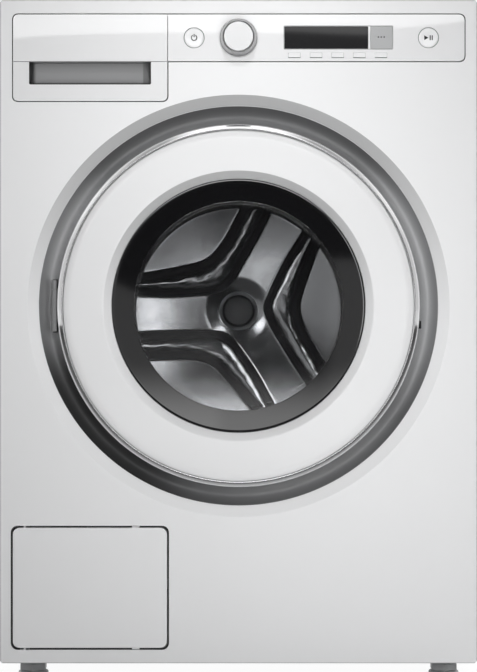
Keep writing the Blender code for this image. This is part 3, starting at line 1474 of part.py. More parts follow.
def arc_band(inner, outer, start, end, steps):
    """The outline of a band between two radii and two angles, centred on the drum's axis."""
    points = []
    for radius, first, last in ((outer, start, end), (inner, end, start)):
        for step in range(steps + 1):
            angle = math.radians(first + (last - first) * step / steps)
            points.append((radius * math.cos(angle), DOOR_Z + radius * math.sin(angle)))
    return points


def counterweight():
    """A cast segment bolted to the tub's front wall, below the mouth."""
    outline = arc_band(
        WEIGHT_INNER_RADIUS, WEIGHT_OUTER_RADIUS, WEIGHT_FROM_DEGREES, WEIGHT_TO_DEGREES, WEIGHT_STEPS
    )
    back = TUB_FRONT - FIT_GAP
    return paint(plate("counterweight", [outline], back - WEIGHT_THICKNESS, back), CAST_IRON)


def door_gasket():
    """The bellows between the surround and the tub's mouth, with the lip that seals on the bowl."""
    wall = GASKET_WALL
    front = LANDING_DEPTH + PLASTIC_WALL + FIT_GAP
    back = TUB_FRONT - FIT_GAP
    bead = GASKET_BEAD
    valley = (front + back) / 2
    profile = [
        (GASKET_BEAD_RADIUS, front),
        (GASKET_BEAD_RADIUS, front + bead),
        (GASKET_FRONT_RADIUS, front + bead),
        (GASKET_LIP_RADIUS + wall * 2, front + bead + bead / 2),
        (GASKET_LIP_RADIUS + wall * 2, valley),
        (GASKET_FOLD_RADIUS, valley + bead),
        (GASKET_FOLD_RADIUS, back),
        (GASKET_TUB_RADIUS, back),
        (GASKET_TUB_RADIUS, back - bead),
        (GASKET_FOLD_RADIUS - wall * 2, back - bead),
        (GASKET_FOLD_RADIUS - wall * 2, valley + bead + bead / 2),
        (GASKET_LIP_RADIUS, valley + wall),
        (GASKET_LIP_RADIUS, front + bead / 2),
        (GASKET_FRONT_RADIUS, front),
    ]
    return paint(turned("door_gasket", profile, 0, DOOR_Z, segments=TUB_SEGMENTS), RUBBER)


def heater():
    """A tubular element in the sump: two rods and a bend, on a plate behind, with two terminals."""
    back = HEATER_PLATE_DEPTH + HEATER_PLATE
    terminal_end = back + HEATER_TERMINAL
    half = HEATER_HALF_SPACING
    piece = box(
        "heater",
        (-HEATER_PLATE_HALF_WIDTH, HEATER_PLATE_HALF_WIDTH),
        (HEATER_PLATE_DEPTH, back),
        (HEATER_Z - HEATER_PLATE_HALF_HEIGHT, HEATER_Z + HEATER_PLATE_HALF_HEIGHT),
    )
    for i, x in enumerate((-half, half)):
        span = (HEATER_DEPTH, terminal_end)
        join(piece, cylinder(f"heater_rod_{i}", HEATER_ROD_RADIUS, x, HEATER_Z, span, 8))
    bend = box(
        "heater_bend",
        (-half - HEATER_ROD_RADIUS, half + HEATER_ROD_RADIUS),
        (HEATER_DEPTH - HEATER_ROD_RADIUS, HEATER_DEPTH + HEATER_ROD_RADIUS),
        (HEATER_Z - HEATER_ROD_RADIUS, HEATER_Z + HEATER_ROD_RADIUS),
    )
    soften(bend, HEATER_ROD_RADIUS / 2)
    join(piece, bend)
    return paint(piece, STAINLESS)


def sump_hose():
    """The ribbed rubber hose from the tub's sump down to the pump's inlet."""
    bottom = PUMP_INLET_TOP - HOSE_LAP
    top = SUMP_BOTTOM - FIT_GAP
    bore = max(SUMP_SPIGOT_RADIUS, PUMP_INLET_RADIUS) + RUN_GAP
    outside = bore + HOSE_WALL
    pitch = (top - bottom) / (2 * HOSE_RIBS + 1)
    outer = []
    for i in range(2 * HOSE_RIBS + 2):
        rise = HOSE_RIB_RISE if i % 2 else 0
        outer.append((outside + rise, top - pitch * i))
    profile = [*outer, (bore, bottom), (bore, top)]
    hose = turned_upright("sump_hose", profile, SUMP_SPIGOT_X, SUMP_SPIGOT_DEPTH)
    return paint(hose, BLACK_RUBBER)


def cradle(side, sign):
    """A bracket that hugs the tub's flank, with the two rods that slide in the strut tubes."""
    ends = (STRUT_DEPTHS[0] - CRADLE_END_LAP, STRUT_DEPTHS[1] + CRADLE_END_LAP)
    edges = (sign * CRADLE_INNER_X, sign * CRADLE_OUTER_X)
    beam = box(f"cradle_{side}", (min(edges), max(edges)), ends, (CRADLE_BOTTOM, CRADLE_TOP))
    seat_span = (ends[0] - OVERRUN, ends[1] + OVERRUN)
    seat_radius = TUB_RADIUS + FIT_GAP
    tub_space = cylinder(f"cradle_{side}_seat", seat_radius, 0, DOOR_Z, seat_span, TUB_SEGMENTS)
    for i, depth in enumerate(STRUT_DEPTHS):
        span = (ROD_BOTTOM, CRADLE_BOTTOM + OVERRUN)
        join(beam, post(f"rod_{side}_{i}", ROD_RADIUS, sign * STRUT_X, depth, span))
    cut(beam, tub_space)
    return paint(beam, GALVANISED)


def drum_shell():
    """The drum's wall and front ring, with the lip rolled inwards at its mouth."""
    wall = DRUM_WALL
    front, shoulder = DRUM_FRONT, DRUM_SHOULDER
    lip_back = front + DRUM_LIP
    back = DRUM_BACK - FIT_GAP
    profile = [
        (DRUM_RADIUS - shoulder, front),
        (DRUM_RADIUS, front + shoulder),
        (DRUM_RADIUS, back),
        (DRUM_RADIUS - wall, back),
        (DRUM_RADIUS - wall, front + shoulder + wall / 2),
        (DRUM_RADIUS - shoulder - wall / 2, front + wall),
        (DRUM_MOUTH_RADIUS + wall, front + wall),
        (DRUM_MOUTH_RADIUS + wall, lip_back),
        (DRUM_MOUTH_RADIUS, lip_back),
        (DRUM_MOUTH_RADIUS, front),
    ]
    return paint(turned("drum_shell", profile, 0, DOOR_Z, segments=TUB_SEGMENTS), STAINLESS)


def turned_about_axis(points, degrees):
    angle = math.radians(degrees)
    cos, sin = math.cos(angle), math.sin(angle)
    return [(x * cos - z * sin, DOOR_Z + x * sin + z * cos) for x, z in points]


def drum_back():
    """The embossed back wall: a plate, three bent ribs round the hub, and the hub's cap."""
    back = DRUM_BACK + DRUM_BACK_PLATE
    wall = cylinder("drum_back", DRUM_RADIUS, 0, DOOR_Z, (DRUM_BACK, back), TUB_SEGMENTS)
    shape = [(x * DRUM_RADIUS, z * DRUM_RADIUS) for x, z in RIB_SHARES]
    for i in range(RIB_COUNT):
        outline = turned_about_axis(shape, 360 / RIB_COUNT * i)
        rib = plate(f"drum_rib_{i}", [outline], DRUM_BACK - RIB_RISE, DRUM_BACK + DRUM_BACK_PLATE / 2)
        soften(rib, RIB_ROUND)
        join(wall, rib)
    cap = turned(
        "hub_cap",
        [
            (0, DRUM_BACK - HUB_CAP_RISE),
            (HUB_CAP_RADIUS - HUB_CAP_FOOT, DRUM_BACK - HUB_CAP_RISE),
            (HUB_CAP_RADIUS, DRUM_BACK - HUB_CAP_RISE + HUB_CAP_FOOT),
            (HUB_CAP_RADIUS + HUB_CAP_FOOT, DRUM_BACK + DRUM_BACK_PLATE / 2),
            (0, DRUM_BACK + DRUM_BACK_PLATE / 2),
        ],
        0,
        DOOR_Z,
        closed=False,
        segments=MEDIUM_SEGMENTS,
    )
    join(wall, cap)
    return paint(wall, STAINLESS)


def drum_spider():
    """Three cast arms behind the drum, with the shaft that runs back through the tub's hub."""
    front = DRUM_BACK + DRUM_BACK_PLATE + FIT_GAP
    hub = cylinder(
        "drum_spider", SPIDER_HUB_RADIUS, 0, DOOR_Z, (front, front + SPIDER_HUB_LENGTH), MEDIUM_SEGMENTS
    )
    half = SPIDER_ARM_WIDTH / 2
    tip = half * SPIDER_ARM_TIP_SHARE
    shape = [(0, -half), (SPIDER_ARM_REACH, -tip), (SPIDER_ARM_REACH, tip), (0, half)]
    for i in range(RIB_COUNT):
        outline = turned_about_axis(shape, 360 / RIB_COUNT * (i + 0.5))
        join(hub, plate(f"spider_arm_{i}", [outline], front, front + SPIDER_ARM_THICKNESS))
    shaft_span = (front + SPIDER_ARM_THICKNESS, PULLEY_FRONT + PULLEY_WIDTH)
    join(hub, cylinder("drum_shaft", SHAFT_RADIUS, 0, DOOR_Z, shaft_span, MEDIUM_SEGMENTS))
    return paint(hub, ALUMINIUM)


def lifter(number, degrees):
    """A paddle along the drum's wall, which lifts the washing."""
    base, crest = LIFTER_BASE / 2, LIFTER_CREST / 2
    seat = math.sqrt((DRUM_RADIUS - DRUM_WALL) ** 2 - base**2) - RUN_GAP
    shape = [(seat, -base), (seat, base), (seat - LIFTER_HEIGHT, crest), (seat - LIFTER_HEIGHT, -crest)]
    middle = (DRUM_FRONT + DRUM_BACK) / 2
    span = (middle - LIFTER_LENGTH / 2, middle + LIFTER_LENGTH / 2)
    paddle = plate(f"lifter_{number}", [turned_about_axis(shape, degrees)], *span)
    soften(paddle, LIFTER_ROUND)
    return paint(paddle, GREY_PLASTIC)


def drum_pulley():
    front, back = PULLEY_FRONT, PULLEY_FRONT + PULLEY_WIDTH
    web = (front + back - DRUM_PULLEY_WEB) / 2
    rim_inside = DRUM_PULLEY_RADIUS - DRUM_PULLEY_RIM
    bore = SHAFT_RADIUS + SHAFT_GAP
    profile = [
        (DRUM_PULLEY_RADIUS, front),
        (DRUM_PULLEY_RADIUS, back),
        (rim_inside, back),
        (rim_inside, web + DRUM_PULLEY_WEB),
        (DRUM_PULLEY_HUB, web + DRUM_PULLEY_WEB),
        (DRUM_PULLEY_HUB, back),
        (bore, back),
        (bore, front),
        (DRUM_PULLEY_HUB, front),
        (DRUM_PULLEY_HUB, web),
        (rim_inside, web),
        (rim_inside, front),
    ]
    pulley = turned("drum_pulley", profile, 0, DOOR_Z, segments=TUB_SEGMENTS)
    place_radius = DRUM_PULLEY_RADIUS * DRUM_PULLEY_HOLE_PLACE_SHARE
    for i in range(DRUM_PULLEY_HOLES):
        angle = 2 * math.pi * i / DRUM_PULLEY_HOLES
        x, z = place_radius * math.cos(angle), DOOR_Z + place_radius * math.sin(angle)
        span = (web - OVERRUN, web + DRUM_PULLEY_WEB + OVERRUN)
        cut(pulley, cylinder(f"pulley_hole_{i}", DRUM_PULLEY_HOLE_RADIUS, x, z, span))
    return paint(pulley, ALUMINIUM)


def belt_outline(extra):
    """The loop round both pulleys, this far outside them."""
    drum, motor = Vector((0, DOOR_Z)), Vector((MOTOR_X, MOTOR_Z))
    big, small = DRUM_PULLEY_RADIUS + extra, MOTOR_PULLEY_RADIUS + extra
    run = motor - drum
    towards = math.atan2(run.y, run.x)
    lean = math.acos((big - small) / run.length)
    points = []
    for centre, reach, first, last in (
        (drum, big, towards + lean, towards + 2 * math.pi - lean),
        (motor, small, towards - lean, towards + lean),
    ):
        radius = reach / math.cos((last - first) / BELT_STEPS / 2)
        for step in range(BELT_STEPS + 1):
            angle = first + (last - first) * step / BELT_STEPS
            points.append((centre.x + radius * math.cos(angle), centre.y + radius * math.sin(angle)))
    return points


def drive_belt():
    middle = PULLEY_FRONT + PULLEY_WIDTH / 2
    span = (middle - BELT_WIDTH / 2, middle + BELT_WIDTH / 2)
    loops = [belt_outline(RUN_GAP + BELT_THICKNESS), belt_outline(RUN_GAP)]
    return paint(plate("drive_belt", loops, *span), BLACK_RUBBER)


def motor():
    """The drive motor: a round body with a cover at each end, and two lugs bolted to the tub's ears."""
    back = MOTOR_FRONT + MOTOR_LENGTH
    end = MOTOR_END_LENGTH
    profile = [
        (0, MOTOR_FRONT),
        (MOTOR_END_RADIUS, MOTOR_FRONT),
        (MOTOR_END_RADIUS, MOTOR_FRONT + end),
        (MOTOR_RADIUS, MOTOR_FRONT + end),
        (MOTOR_RADIUS, back - end),
        (MOTOR_END_RADIUS, back - end),
        (MOTOR_END_RADIUS, back),
        (0, back),
    ]
    body = turned("motor", profile, MOTOR_X, MOTOR_Z, closed=False, segments=MEDIUM_SEGMENTS)
    half = MOTOR_EAR_WIDTH / 2
    for i, depth in enumerate(MOTOR_EAR_DEPTHS):
        front = depth + MOTOR_EAR + FIT_GAP
        lug = box(
            f"motor_lug_{i}",
            (MOTOR_X - half, MOTOR_X + half),
            (front, front + MOTOR_EAR),
            (MOTOR_Z, MOTOR_LUG_TOP),
        )
        span = (depth - MOTOR_EAR / 2, front + MOTOR_EAR / 2)
        bolt = cylinder(f"motor_bolt_{i}", MOTOR_BOLT_RADIUS, MOTOR_X, MOTOR_BOLT_Z, span, 12)
        join(body, lug, bolt)
    return paint(body, ALUMINIUM)


def motor_pulley():
    start = MOTOR_FRONT + MOTOR_LENGTH + FIT_GAP
    profile = [
        (0, start),
        (MOTOR_SHAFT_RADIUS, start),
        (MOTOR_SHAFT_RADIUS, PULLEY_FRONT),
        (MOTOR_PULLEY_RADIUS, PULLEY_FRONT),
        (MOTOR_PULLEY_RADIUS, PULLEY_FRONT + PULLEY_WIDTH),
        (0, PULLEY_FRONT + PULLEY_WIDTH),
    ]
    pulley = turned("motor_pulley", profile, MOTOR_X, MOTOR_Z, closed=False, segments=SMALL_SEGMENTS)
    paint(pulley, GALVANISED)
    carry(axis_empty("motor_spin_axis", MOTOR_X, MOTOR_FRONT, MOTOR_Z), pulley)


def cabinet():
    front_panel()
    cabinet_wrap()
    rear_cover()
    top_cover()
    base_pan()
    door_surround()
    hinge_bracket()
    door_lock()
    dispenser_housing()
    inlet_valve()
    drain_pump()
    for name, x, depth in strut_places():
        strut_tube(name, x, depth)


def moving_fittings():
    carry(
        axis_empty("drawer_slide_axis", (DRAWER_LEFT + DRAWER_RIGHT) / 2, 0, DRAWER_BOTTOM),
        drawer_front(),
        drawer_tray(),
    )
    flap_z = (FLAP_BOTTOM + FLAP_TOP) / 2
    carry(
        axis_empty("flap_hinge_axis", FLAP_LEFT + FLAP_HINGE_INSET, FLAP_HINGE_DEPTH, flap_z),
        filter_flap(),
    )
    carry(axis_empty("filter_turn_axis", PUMP_X, FILTER_FRONT, PUMP_Z), pump_filter())
    for name, x, depth in foot_places():
        foot(name, x, depth)


def washing_group():
    sides = [cradle("left", -1), cradle("right", 1)]
    carry(
        axis_empty("tub_bounce_axis", 0, TUB_FRONT, DOOR_Z),
        tub(),
        counterweight(),
        door_gasket(),
        heater(),
        sump_hose(),
        drive_belt(),
        motor(),
        *sides,
    )
    lifters = [
        lifter(i + 1, LIFTER_FIRST_DEGREES + 360 / LIFTER_COUNT * i) for i in range(LIFTER_COUNT)
    ]
    carry(
        axis_empty("drum_spin_axis", 0, DRUM_FRONT, DOOR_Z),
        drum_shell(),
        drum_back(),
        drum_spider(),
        drum_pulley(),
        *lifters,
    )
    motor_pulley()


cabinet()
door()
controls()
moving_fittings()
washing_group()
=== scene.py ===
# %% [markdown]
# A front-loading washing machine, dressed for its photograph.
#
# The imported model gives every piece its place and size. This script keeps those that are right,
# gives each of them a finish, and models the pieces that the eye rests on again with finer
# surfaces. It is written as a lesson: each cell makes one piece or one finish, and says why it is
# made that way.

import math

import bmesh
import bpy
import numpy as np
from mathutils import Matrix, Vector


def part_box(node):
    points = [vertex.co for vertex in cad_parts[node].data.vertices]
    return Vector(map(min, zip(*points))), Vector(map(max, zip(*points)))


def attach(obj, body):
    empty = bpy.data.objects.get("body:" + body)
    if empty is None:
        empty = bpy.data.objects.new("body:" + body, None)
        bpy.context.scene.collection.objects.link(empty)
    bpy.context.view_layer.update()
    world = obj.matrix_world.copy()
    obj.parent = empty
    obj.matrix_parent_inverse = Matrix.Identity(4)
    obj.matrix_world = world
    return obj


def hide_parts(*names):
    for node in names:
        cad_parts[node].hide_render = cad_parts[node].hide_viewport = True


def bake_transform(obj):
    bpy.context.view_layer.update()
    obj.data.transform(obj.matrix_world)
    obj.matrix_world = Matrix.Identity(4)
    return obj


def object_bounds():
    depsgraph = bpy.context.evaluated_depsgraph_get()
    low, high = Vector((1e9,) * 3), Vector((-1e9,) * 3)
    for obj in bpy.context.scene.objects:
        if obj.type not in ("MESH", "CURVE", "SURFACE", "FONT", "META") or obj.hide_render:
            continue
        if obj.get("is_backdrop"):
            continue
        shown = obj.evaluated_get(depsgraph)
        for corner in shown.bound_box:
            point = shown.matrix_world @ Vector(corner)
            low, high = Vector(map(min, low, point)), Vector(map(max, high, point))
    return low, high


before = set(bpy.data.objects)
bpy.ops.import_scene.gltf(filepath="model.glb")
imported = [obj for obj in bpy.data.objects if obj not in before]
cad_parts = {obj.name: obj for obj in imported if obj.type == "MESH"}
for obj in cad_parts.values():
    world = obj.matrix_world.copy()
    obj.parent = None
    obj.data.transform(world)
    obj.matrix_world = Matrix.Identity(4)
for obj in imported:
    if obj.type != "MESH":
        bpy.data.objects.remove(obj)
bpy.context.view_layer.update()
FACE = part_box("front_panel")[0].y
print("front face at", round(FACE, 5))

# %% [markdown]
# Places are written as the photograph suggests: X to the right, Z up, and a depth behind the front
# panel's face. One small function turns a depth into a world Y, so no other cell needs to know
# where the face lies. Many pieces take their size from the node they stand for.


# %% Places
def at(depth):
    """The world Y of a place this far behind the front panel's face."""
    return FACE + depth


def spans(node):
    """A node's width, depth and height, each as a start and an end."""
    low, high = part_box(node)
    return (low.x, high.x), (low.y - FACE, high.y - FACE), (low.z, high.z)


def depths_of(node):
    return spans(node)[1]


def radius_of(node):
    left, right = spans(node)[0]
    return (right - left) / 2


def centre_of(node):
    across, _, height = spans(node)
    return sum(across) / 2, sum(height) / 2


def around(middle, half):
    return middle - half, middle + half


def widened(span, extra):
    return span[0] - extra, span[1] + extra


def ordered(first, second):
    return min(first, second), max(first, second)


DOOR = centre_of("door_surround")
print("door centre at", [round(value, 4) for value in DOOR])


# %% [markdown]
# Every new piece starts as a primitive and is shaped in edit mode. The helpers below only save
# typing: they deselect, open and close edit mode, pick faces or edges by a rule, and apply a
# modifier. A mesh operator acts on whatever is selected, so each helper says plainly what it
# selects.


# %% Helpers for modelling
def deselect():
    bpy.ops.object.select_all(action="DESELECT")


def name_it(name):
    """Names the primitive that was just added."""
    obj = bpy.context.object
    obj.name = name
    obj.data.name = name
    return obj


def alone(obj):
    deselect()
    obj.select_set(True)
    bpy.context.view_layer.objects.active = obj


def open_edit(obj, mode="VERT"):
    alone(obj)
    bpy.ops.object.mode_set(mode="EDIT")
    bpy.ops.mesh.select_mode(type=mode)


def close_edit():
    bpy.ops.object.mode_set(mode="OBJECT")


def select_where(obj, kind, test):
    """In edit mode, selects only the verts, edges or faces that pass the test."""
    shape = bmesh.from_edit_mesh(obj.data)
    bpy.ops.mesh.select_all(action="DESELECT")
    for part in getattr(shape, kind):
        if test(part):
            part.select_set(True)
    shape.select_flush_mode()
    bmesh.update_edit_mesh(obj.data)


def middle_of(edge):
    return (edge.verts[0].co + edge.verts[1].co) / 2


def runs_along(edge, axis):
    run = edge.verts[1].co - edge.verts[0].co
    return abs(run[axis]) > 0.99 * run.length


def settle(obj):
    """Applies the object's place to its mesh."""
    alone(obj)
    bpy.ops.object.transform_apply(location=True, rotation=True, scale=True)


def mend(obj):
    """Welds doubles and turns all faces outwards."""
    open_edit(obj)
    bpy.ops.mesh.select_all(action="SELECT")
    bpy.ops.mesh.remove_doubles(threshold=1e-6)
    bpy.ops.mesh.normals_make_consistent(inside=False)
    close_edit()


def modify(obj, kind, **settings):
    """Adds a modifier, sets it and applies it."""
    alone(obj)
    bpy.ops.object.modifier_add(type=kind)
    step = obj.modifiers[-1]
    for key, value in settings.items():
        setattr(step, key, value)
    bpy.ops.object.modifier_apply(modifier=step.name)


def soften(obj, width, segments=3, degrees=35):
    modify(
        obj,
        "BEVEL",
        width=width,
        segments=segments,
        limit_method="ANGLE",
        angle_limit=math.radians(degrees),
        use_clamp_overlap=True,
    )


def cut_out(obj, *cutters):
    for cutter in cutters:
        modify(obj, "BOOLEAN", operation="DIFFERENCE", object=cutter, solver="EXACT")
        bpy.data.objects.remove(cutter, do_unlink=True)


def merge_into(obj, *others):
    """Joins loose pieces into one object."""
    alone(obj)
    for other in others:
        other.select_set(True)
    bpy.ops.object.join()
    return obj


# %% [markdown]
# Round pieces are drawn out of a circle, as on a lathe: the edge loop is extruded, moved along its
# axis and scaled to its next radius, again and again. It reads like the piece's own section, it
# needs no curve, and the loops stay evenly spaced all round. A radius of zero gathers the loop in
# a pole.


# %% Lathe
ROUND = 192


def revolve(name, profile, centre=DOOR, sides=ROUND, upright=False):
    """A round piece from steps of (radius, depth), or of (radius, height) where it stands upright.

    An upright piece's centre is its X and its depth.
    """
    turn = (0, 0, 0) if upright else (math.pi / 2, 0, 0)

    def place(along):
        return (centre[0], at(centre[1]), along) if upright else (centre[0], at(along), centre[1])

    def draw(steps):
        for (radius, along), (next_radius, next_along) in zip(steps, steps[1:]):
            move = tuple(b - a for a, b in zip(place(along), place(next_along)))
            bpy.ops.mesh.extrude_region_move(TRANSFORM_OT_translate={"value": move})
            if next_radius == 0:
                bpy.ops.mesh.merge(type="CENTER")
                return
            size = next_radius / radius
            scale = (size, size, 1) if upright else (size, 1, size)
            bpy.ops.transform.resize(value=scale, center_override=place(next_along))

    steps = list(profile)
    starts_at_pole = steps[0][0] == 0
    first = steps[1] if starts_at_pole else steps[0]
    deselect()
    bpy.ops.mesh.primitive_circle_add(
        vertices=sides, radius=first[0], location=place(first[1]), rotation=turn
    )
    obj = name_it(name)
    open_edit(obj)
    bpy.ops.mesh.select_all(action="SELECT")
    if starts_at_pole:
        draw([first, steps[0]])
        select_where(obj, "verts", lambda vert: len(vert.link_faces) < 3)
        draw(steps[1:])
    else:
        draw(steps)
    close_edit()
    settle(obj)
    mend(obj)
    return obj


def rounded(corners, radii, steps=5):
    """A closed section, each corner eased into a curve that starts and ends at its radius."""
    points = []
    count = len(corners)
    for i, (corner, radius) in enumerate(zip(corners, radii)):
        if radius == 0:
            points.append(tuple(corner))
            continue
        here = Vector(corner)
        start = here + (Vector(corners[i - 1]) - here).normalized() * radius
        end = here + (Vector(corners[(i + 1) % count]) - here).normalized() * radius
        for step in range(steps + 1):
            share = step / steps
            points.append(
                tuple(start * (1 - share) ** 2 + here * 2 * share * (1 - share) + end * share**2)
            )
    return points + points[:1]


# %% [markdown]
# Flat pieces start as a cube at their size and place. The corners that show from the front are
# bevelled in edit mode, and a Bevel modifier then takes the hardness off every edge, because no
# moulded or pressed piece has a razor edge and it is the edge that catches the light.


# %% Slabs and cylinders
def slab(name, x, depth, z, corner=0.0, edge=0.0, corner_steps=8):
    """A box whose four edges from front to back are rounded, and the others then softened."""
    size = (x[1] - x[0], depth[1] - depth[0], z[1] - z[0])
    middle = (sum(x) / 2, at(sum(depth) / 2), sum(z) / 2)
    deselect()
    bpy.ops.mesh.primitive_cube_add(size=1, location=middle, scale=size)
    obj = name_it(name)
    settle(obj)
    if corner:
        open_edit(obj, "EDGE")
        select_where(obj, "edges", lambda part: runs_along(part, 1))
        bpy.ops.mesh.bevel(offset=corner, segments=corner_steps, affect="EDGES")
        close_edit()
    if edge:
        soften(obj, edge)
    return obj


def rod(name, radius, x, z, depth, sides):
    """A round bar that runs from front to back."""
    deselect()
    bpy.ops.mesh.primitive_cylinder_add(
        vertices=sides,
        radius=radius,
        depth=depth[1] - depth[0],
        location=(x, at(sum(depth) / 2), z),
        rotation=(math.pi / 2, 0, 0),
    )
    obj = name_it(name)
    settle(obj)
    return obj


# %% [markdown]
# A finished piece gets its material, rides on the body that moves it, and stands for the node that
# it replaces. Smooth shading by angle keeps flat faces flat, and a Weighted Normal modifier stops a
# bevel from bending the light on the large face beside it.

# %% Handing a piece over
made = []


def hand_over(obj, finish, body, nodes, degrees=35, weighted=False):
    """Body is a body's name, which the piece rides on. Two bodies and two points are not used: the
    piece is only left in place.
    """
    obj.data.materials.clear()
    obj.data.materials.append(finish)
    alone(obj)
    bpy.ops.object.shade_smooth_by_angle(angle=math.radians(degrees))
    if weighted:
        modify(obj, "WEIGHTED_NORMAL", keep_sharp=True)
    if isinstance(body, str):
        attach(obj, body)
    else:
        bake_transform(obj)
    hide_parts(*nodes)
    # Blender adds a dot and a number to a finish whose name a packed material already has.
    made.append(obj.name)
    print(obj.name, len(obj.data.polygons), "faces")
    return obj


# %% [markdown]
# Shader maths is easier to read as arithmetic than as a web of nodes. The class below wraps a
# socket, and each sign between two values adds the Math node that works it out. A second class
# holds the material that is being written.


# %% Shader values
class Value:
    """A shader socket that takes part in Python arithmetic."""

    def __init__(self, finish, socket):
        self.finish = finish
        self.socket = socket

    def maths(self, operation, first, second):
        return self.finish.node("Math", {"operation": operation}, {0: first, 1: second})

    def __add__(self, other):
        return self.maths("ADD", self, other)

    def __sub__(self, other):
        return self.maths("SUBTRACT", self, other)

    def __mul__(self, other):
        return self.maths("MULTIPLY", self, other)

    def __rsub__(self, other):
        return self.maths("SUBTRACT", other, self)

    def __gt__(self, other):
        return self.maths("GREATER_THAN", self, other)

    __radd__ = __add__
    __rmul__ = __mul__


class Finish:
    """A material while it is written."""

    def __init__(self, name, owner=None):
        self.holder = owner or bpy.data.materials.new(name)
        self.holder.use_nodes = True
        self.tree = self.holder.node_tree
        self.shader = self.tree.nodes.get("Principled BSDF")

    def feed(self, socket, value):
        if isinstance(value, Value):
            self.tree.links.new(value.socket, socket)
        elif hasattr(value, "__len__") and len(value) == 3 and len(socket.default_value) == 4:
            socket.default_value = (*value, 1)
        else:
            socket.default_value = value

    def node(self, kind, settings=None, sockets=None, output=0):
        """Adds a node: first its settings, then its sockets' values or links."""
        made_node = self.tree.nodes.new("ShaderNode" + kind)
        for key, value in (settings or {}).items():
            setattr(made_node, key, value)
        for key, value in (sockets or {}).items():
            self.feed(made_node.inputs[key], value)
        return Value(self, made_node.outputs[output])

    def place(self, centre=(0, 0, 0)):
        """The point on the object, measured from a centre."""
        point = self.node("TexCoord", output=3)
        return self.node("VectorMath", {"operation": "SUBTRACT"}, {0: point, 1: centre})

    def part(self, vector, axis):
        return self.node("SeparateXYZ", None, {0: vector}, axis)

    def stretched(self, vector, scale):
        return self.node("VectorMath", {"operation": "MULTIPLY"}, {0: vector, 1: scale})

    def noise(self, vector, scale, detail=2.0, roughness=0.5):
        sockets = {"Vector": vector, "Scale": scale, "Detail": detail, "Roughness": roughness}
        return self.node("TexNoise", None, sockets)

    def step(self, value, low, high, start=0.0, end=1.0):
        """A smooth step from start to end while the value goes from low to high."""
        sockets = {"Value": value, 1: low, 2: high, 3: start, 4: end}
        return self.node("MapRange", {"interpolation_type": "SMOOTHSTEP"}, sockets)

    def blend(self, factor, first, second):
        settings = {"data_type": "RGBA", "clamp_factor": True}
        return self.node("Mix", settings, {0: factor, 6: first, 7: second}, 2)

    def from_axis(self, centre):
        """The way from an axis that runs from front to back, and the distance from it."""
        flat = self.stretched(self.place((centre[0], 0, centre[1])), (1, 0, 1))
        return flat, self.node("VectorMath", {"operation": "LENGTH"}, {0: flat}, 1)

    def either(self, first, second):
        return self.node("Math", {"operation": "MAXIMUM"}, {0: first, 1: second})

    def size_of(self, value):
        return self.node("Math", {"operation": "ABSOLUTE"}, {0: value})

    def share(self, part, whole):
        return self.node("Math", {"operation": "DIVIDE"}, {0: part, 1: whole})

    def bump(self, height, distance):
        return self.node("Bump", None, {"Height": height, "Distance": distance})

    def set(self, **sockets):
        """Sets the shader's sockets. An underscore stands for a space in a socket's name."""
        for key, value in sockets.items():
            self.feed(self.shader.inputs[key.replace("_", " ")], value)
        print("finish", self.holder.name, "with", len(self.tree.nodes), "nodes")
        return self.holder


def shaded(colour, factor):
    return tuple(channel * factor for channel in colour)


# %% [markdown]
# White is never one flat colour. Stove enamel has a faint orange peel and a soft sheen, and a
# moulded panel is glossier and smoother. Both vary a little in tone over a hand's breadth, so that
# a large face isn't dead. The same recipe serves both, with its own numbers. Two tones of painted
# shade can be laid on by place, because the photograph shows them: one on the upper half of a ring
# round the door, where the slope looks down, and one on the fold round the cabinet's outline.

# %% White enamel and white plastic
BLACK = (0, 0, 0)
FOLD_SHADE_SIDE, FOLD_SHADE_TOP, FOLD_SHADE_FOOT = (0.0016, 0.0006), (0.0018, 0.0006), (0.0014, 0.0005)
FOLD_SHADE_DEPTH = (0.0042, 0.0026)


def upper_half_shade(finish, inner, outer, amount):
    """A mask of painted shade between two radii round the door, which grows from its lower part to
    its top.
    """
    flat, radius = finish.from_axis(DOOR)
    within = (radius > inner) * (1 - (radius > outer))
    return within * finish.step(finish.share(finish.part(flat, 2), radius), -0.25, 0.9, 0.0, amount)


def outline_shade_of_front(finish, place):
    """A mask of painted shade along the front panel's outer edge."""
    low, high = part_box("front_panel")
    x, depth, height = (finish.part(place, axis) for axis in range(3))
    across = finish.size_of(x)
    side = finish.step(across, high.x - FOLD_SHADE_SIDE[0], high.x - FOLD_SHADE_SIDE[1])
    top = finish.step(height, high.z - FOLD_SHADE_TOP[0], high.z - FOLD_SHADE_TOP[1])
    foot = finish.step(height, low.z + FOLD_SHADE_FOOT[0], low.z + FOLD_SHADE_FOOT[1])
    near = finish.step(depth, low.y + FOLD_SHADE_DEPTH[0], low.y + FOLD_SHADE_DEPTH[1])
    return finish.either(side, top + foot) * near


def pale(
    name, colour, roughness, peel_size, peel_height, coat=0.0, haze=0.08, ring=None, folded=0.0
):
    """White with an orange peel. The ring is two radii and the amount of painted shade on its upper
    half, and folded is the amount of painted shade along the outline.
    """
    finish = Finish(name)
    place = finish.place()
    drift = finish.noise(place, 4.0, 2.0)
    peel = finish.noise(place, 1 / peel_size, 2.0)
    tone = finish.blend(drift, shaded(colour, 0.99), shaded(colour, 1.008))
    # Painted shade: on the upper half of a ring round the door, and along the cabinet's outline.
    if ring:
        tone = finish.blend(upper_half_shade(finish, *ring), tone, BLACK)
    if folded:
        tone = finish.blend(outline_shade_of_front(finish, place) * folded, tone, BLACK)
    return finish.set(
        Base_Color=tone,
        Roughness=finish.step(drift, 0.2, 0.8, roughness * 0.96, roughness * 1.04),
        Normal=finish.bump(peel, peel_height),
        Specular_IOR_Level=0.25,
        Coat_Weight=coat,
        Coat_Roughness=haze,
    )


